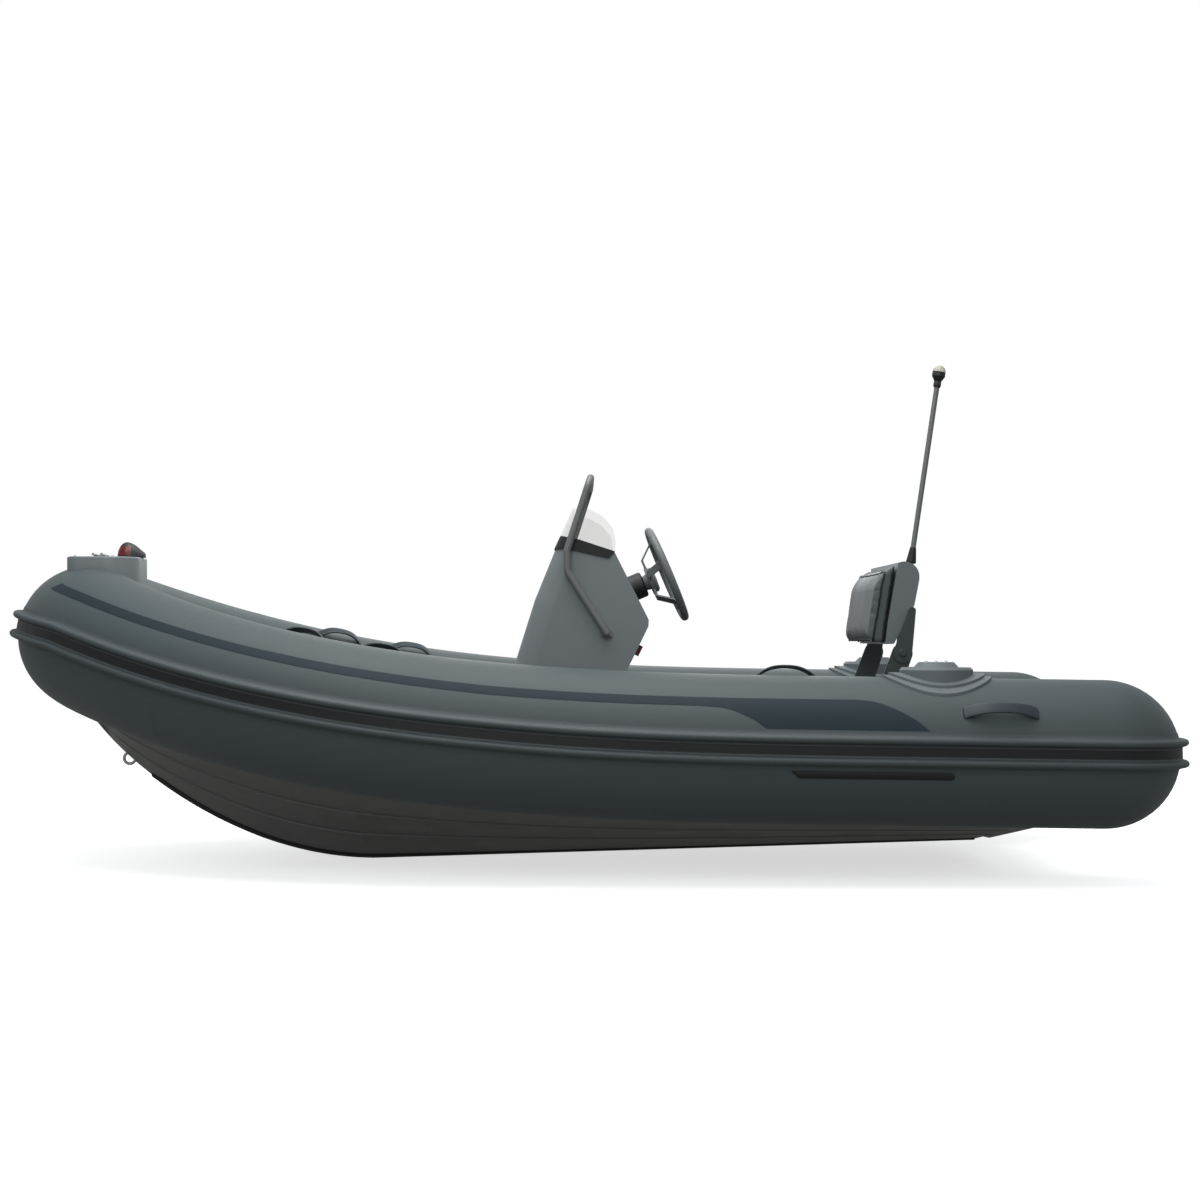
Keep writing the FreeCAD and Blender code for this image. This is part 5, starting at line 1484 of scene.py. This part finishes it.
class BOAT_OT_stern_fittings(bpy.types.Operator):
    """Finishes the towing eyes and the drain on the transom"""
    bl_idname = "boat.stern_fittings"
    bl_label = "Stern fittings"

    def execute(self, context):
        dress(stern_eyes="steel", drain_fitting="black_plastic")
        return {"FINISHED"}


# Fasteners, port side: places along the boat and up, or round a flange
FLANGE = Vector((-0.124, 0.2953, 0.622))
FLANGE_SCREWS = (90.0, 210.0, 330.0)
FLANGE_REACH = 0.0172
STEP_SCREWS_X = (1.612, 1.745)
STEP_SCREWS_Y = 0.135
PAD_SCREWS_X = (-1.219, -1.187, -1.155)
PLATE_BOLTS = ((-1.037, 0.300), (-1.057, 0.268))
PIVOT_BOLT = (-1.135, 0.554)


class BOAT_OT_fasteners(bpy.types.Operator):
    """Sets the screws and bolts"""
    bl_idname = "boat.fasteners"
    bl_label = "Fasteners"

    def execute(self, context):
        sizes = context.scene.boat_sizes
        up = Vector((0.0, 0.0, 1.0))
        pad_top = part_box("step_pad_port")[1].z
        plate_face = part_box("seat_plate_port")[1].y
        arm_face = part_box("backrest_arm_port")[1].y
        screws, flange, plates, arms = [], [], [], []
        for _, side in SIDES:
            out = Vector((0.0, side, 0.0))
            for turn in FLANGE_SCREWS:
                turn = math.radians(turn)
                offset = Vector((math.cos(turn), 0.0, math.sin(turn))) * FLANGE_REACH
                flange.append((Vector((FLANGE.x, side * FLANGE.y, FLANGE.z)) + offset, out))
            screws += [(Vector((x, side * STEP_SCREWS_Y, STEP_TOP + 0.0002)), up) for x in STEP_SCREWS_X]
            screws += [(Vector((x, side * TUBE_OFFSET, pad_top)), up) for x in PAD_SCREWS_X]
            plates += [(Vector((x, side * plate_face, z)), out) for x, z in PLATE_BOLTS]
            arms.append((Vector((PIVOT_BOLT[0], side * arm_face, PIVOT_BOLT[1])), out))
        heads("deck_screws", screws, sizes.screw_radius, 12, "steel")
        heads("flange_screws", flange, sizes.screw_radius, 12, "pole")
        heads("plate_bolts", plates, sizes.bolt_radius, 6, "steel")
        heads("pivot_bolts", arms, sizes.bolt_radius * 1.25, 6, "bracket", "backrest")
        return {"FINISHED"}


FLOOR_HEIGHT = -0.186
EYE = (-0.0328, 7.4407, 0.618)
LAMPS = (
    # name, place and power
    ("overhead", (0.25, 0.6, 4.2), 200.0),
    ("port_fill", (0.6, 6.5, 3.4), 95.0),
    ("starboard_fill", (-0.6, -6.5, 3.4), 95.0),
)
LAMP_SIZE = 4.0


class BOAT_OT_stage(bpy.types.Operator):
    """Sets the pale floor, the white surround, the soft lights and the camera"""
    bl_idname = "boat.stage"
    bl_label = "Studio"

    def execute(self, context):
        scene = context.scene
        self.floor(FLOOR_HEIGHT)
        self.world(scene)
        self.lamps()
        camera = bpy.data.cameras.new("camera")
        camera.sensor_width = 36.0
        camera.lens = 62.26
        camera.shift_x = 0.0167
        camera.shift_y = 0.0288
        camera.clip_end = 200.0
        eye = linked("camera", camera)
        eye.location = EYE
        eye.rotation_euler = (math.radians(90.0), 0.0, math.radians(180.0))
        scene.camera = eye
        scene.view_settings.view_transform = "Standard"
        return {"FINISHED"}

    def floor(self, height):
        """A wide pale floor that keeps the boat's shadow: white to the eye, dull to the boat."""
        rings = []
        for radius, drop in ((0.5, 0.0), (10.0, 0.0), (40.0, 0.0), (40.0, -0.05), (0.5, -0.05)):
            rings.append([Vector((radius * math.cos(turn), radius * math.sin(turn), height + drop))
                          for turn in turns_round(64)])
        floor = swept("floor", rings, (Vector((0, 0, height)), Vector((0, 0, height - 0.05))))
        paint = Paint("studio_floor")
        matt = paint.node("BsdfDiffuse", {}, {"Color": (0.80, 0.80, 0.80)})
        glow = paint.node("Emission", {}, {"Color": (1.0, 1.0, 1.0), "Strength": 0.62})
        dull = paint.node("BsdfDiffuse", {}, {"Color": (0.20, 0.195, 0.185)})
        faint = paint.node("Emission", {}, {"Color": (1.0, 0.99, 0.97), "Strength": 0.10})
        lit = paint.node("AddShader", {}, {0: matt, 1: glow})
        below = paint.node("AddShader", {}, {0: dull, 1: faint})
        both = paint.node("MixShader", {}, {0: paint.seen(), 1: below, 2: lit})
        floor.data.materials.append(paint.close(both))

    def world(self, scene):
        """A white surround to the eye, and a soft even light on the boat."""
        scene.world = bpy.data.worlds.new("studio")
        paint = Paint("studio", scene.world, "World")
        fill = paint.node("Background", {}, {"Color": (0.95, 0.98, 1.0), "Strength": 0.55})
        surround = paint.node("Background", {}, {"Color": (1.0, 1.0, 1.0)})
        paint.close(paint.node("MixShader", {}, {0: paint.seen(), 1: fill, 2: surround}))

    def lamps(self):
        """A broad soft lamp overhead and weaker ones to the sides."""
        for name, place, power in LAMPS:
            lamp = bpy.data.lights.new(name, "AREA")
            lamp.shape = "SQUARE"
            lamp.size = LAMP_SIZE
            lamp.energy = power
            thing = linked(name, lamp)
            thing.location = place
            aim = Vector((0.0, 0.0, 0.2)) - Vector(place)
            thing.rotation_euler = aim.to_track_quat("-Z", "Y").to_euler()


OPERATORS = (
    BOAT_OT_collar, BOAT_OT_rub_rail, BOAT_OT_hull, BOAT_OT_handles, BOAT_OT_pads, BOAT_OT_console,
    BOAT_OT_seat, BOAT_OT_light, BOAT_OT_bow_fittings, BOAT_OT_stern_fittings, BOAT_OT_fasteners,
    BOAT_OT_stage,
)


class BOAT_PT_panel(bpy.types.Panel):
    """Lists the boat's pieces, sizes and colours"""
    bl_idname = "BOAT_PT_panel"
    bl_label = "Inflatable boat"
    bl_space_type = "VIEW_3D"
    bl_region_type = "UI"
    bl_category = "Boat"

    def draw(self, context):
        for group in (context.scene.boat_sizes, context.scene.boat_colours):
            box = self.layout.box()
            for name in type(group).__annotations__:
                box.prop(group, name)
        for operator in OPERATORS:
            self.layout.operator(operator.bl_idname)


CLASSES = (BoatSizes, BoatColours) + OPERATORS + (BOAT_PT_panel,)


def register():
    for item in CLASSES:
        bpy.utils.register_class(item)
    bpy.types.Scene.boat_sizes = PointerProperty(type=BoatSizes)
    bpy.types.Scene.boat_colours = PointerProperty(type=BoatColours)


def unregister():
    del bpy.types.Scene.boat_colours
    del bpy.types.Scene.boat_sizes
    for item in reversed(CLASSES):
        bpy.utils.unregister_class(item)


def main():
    """Builds everything."""
    register()
    make_finishes()
    for operator in OPERATORS:
        group, name = operator.bl_idname.split(".")
        getattr(getattr(bpy.ops, group), name)()


if __name__ == "__main__":
    main()
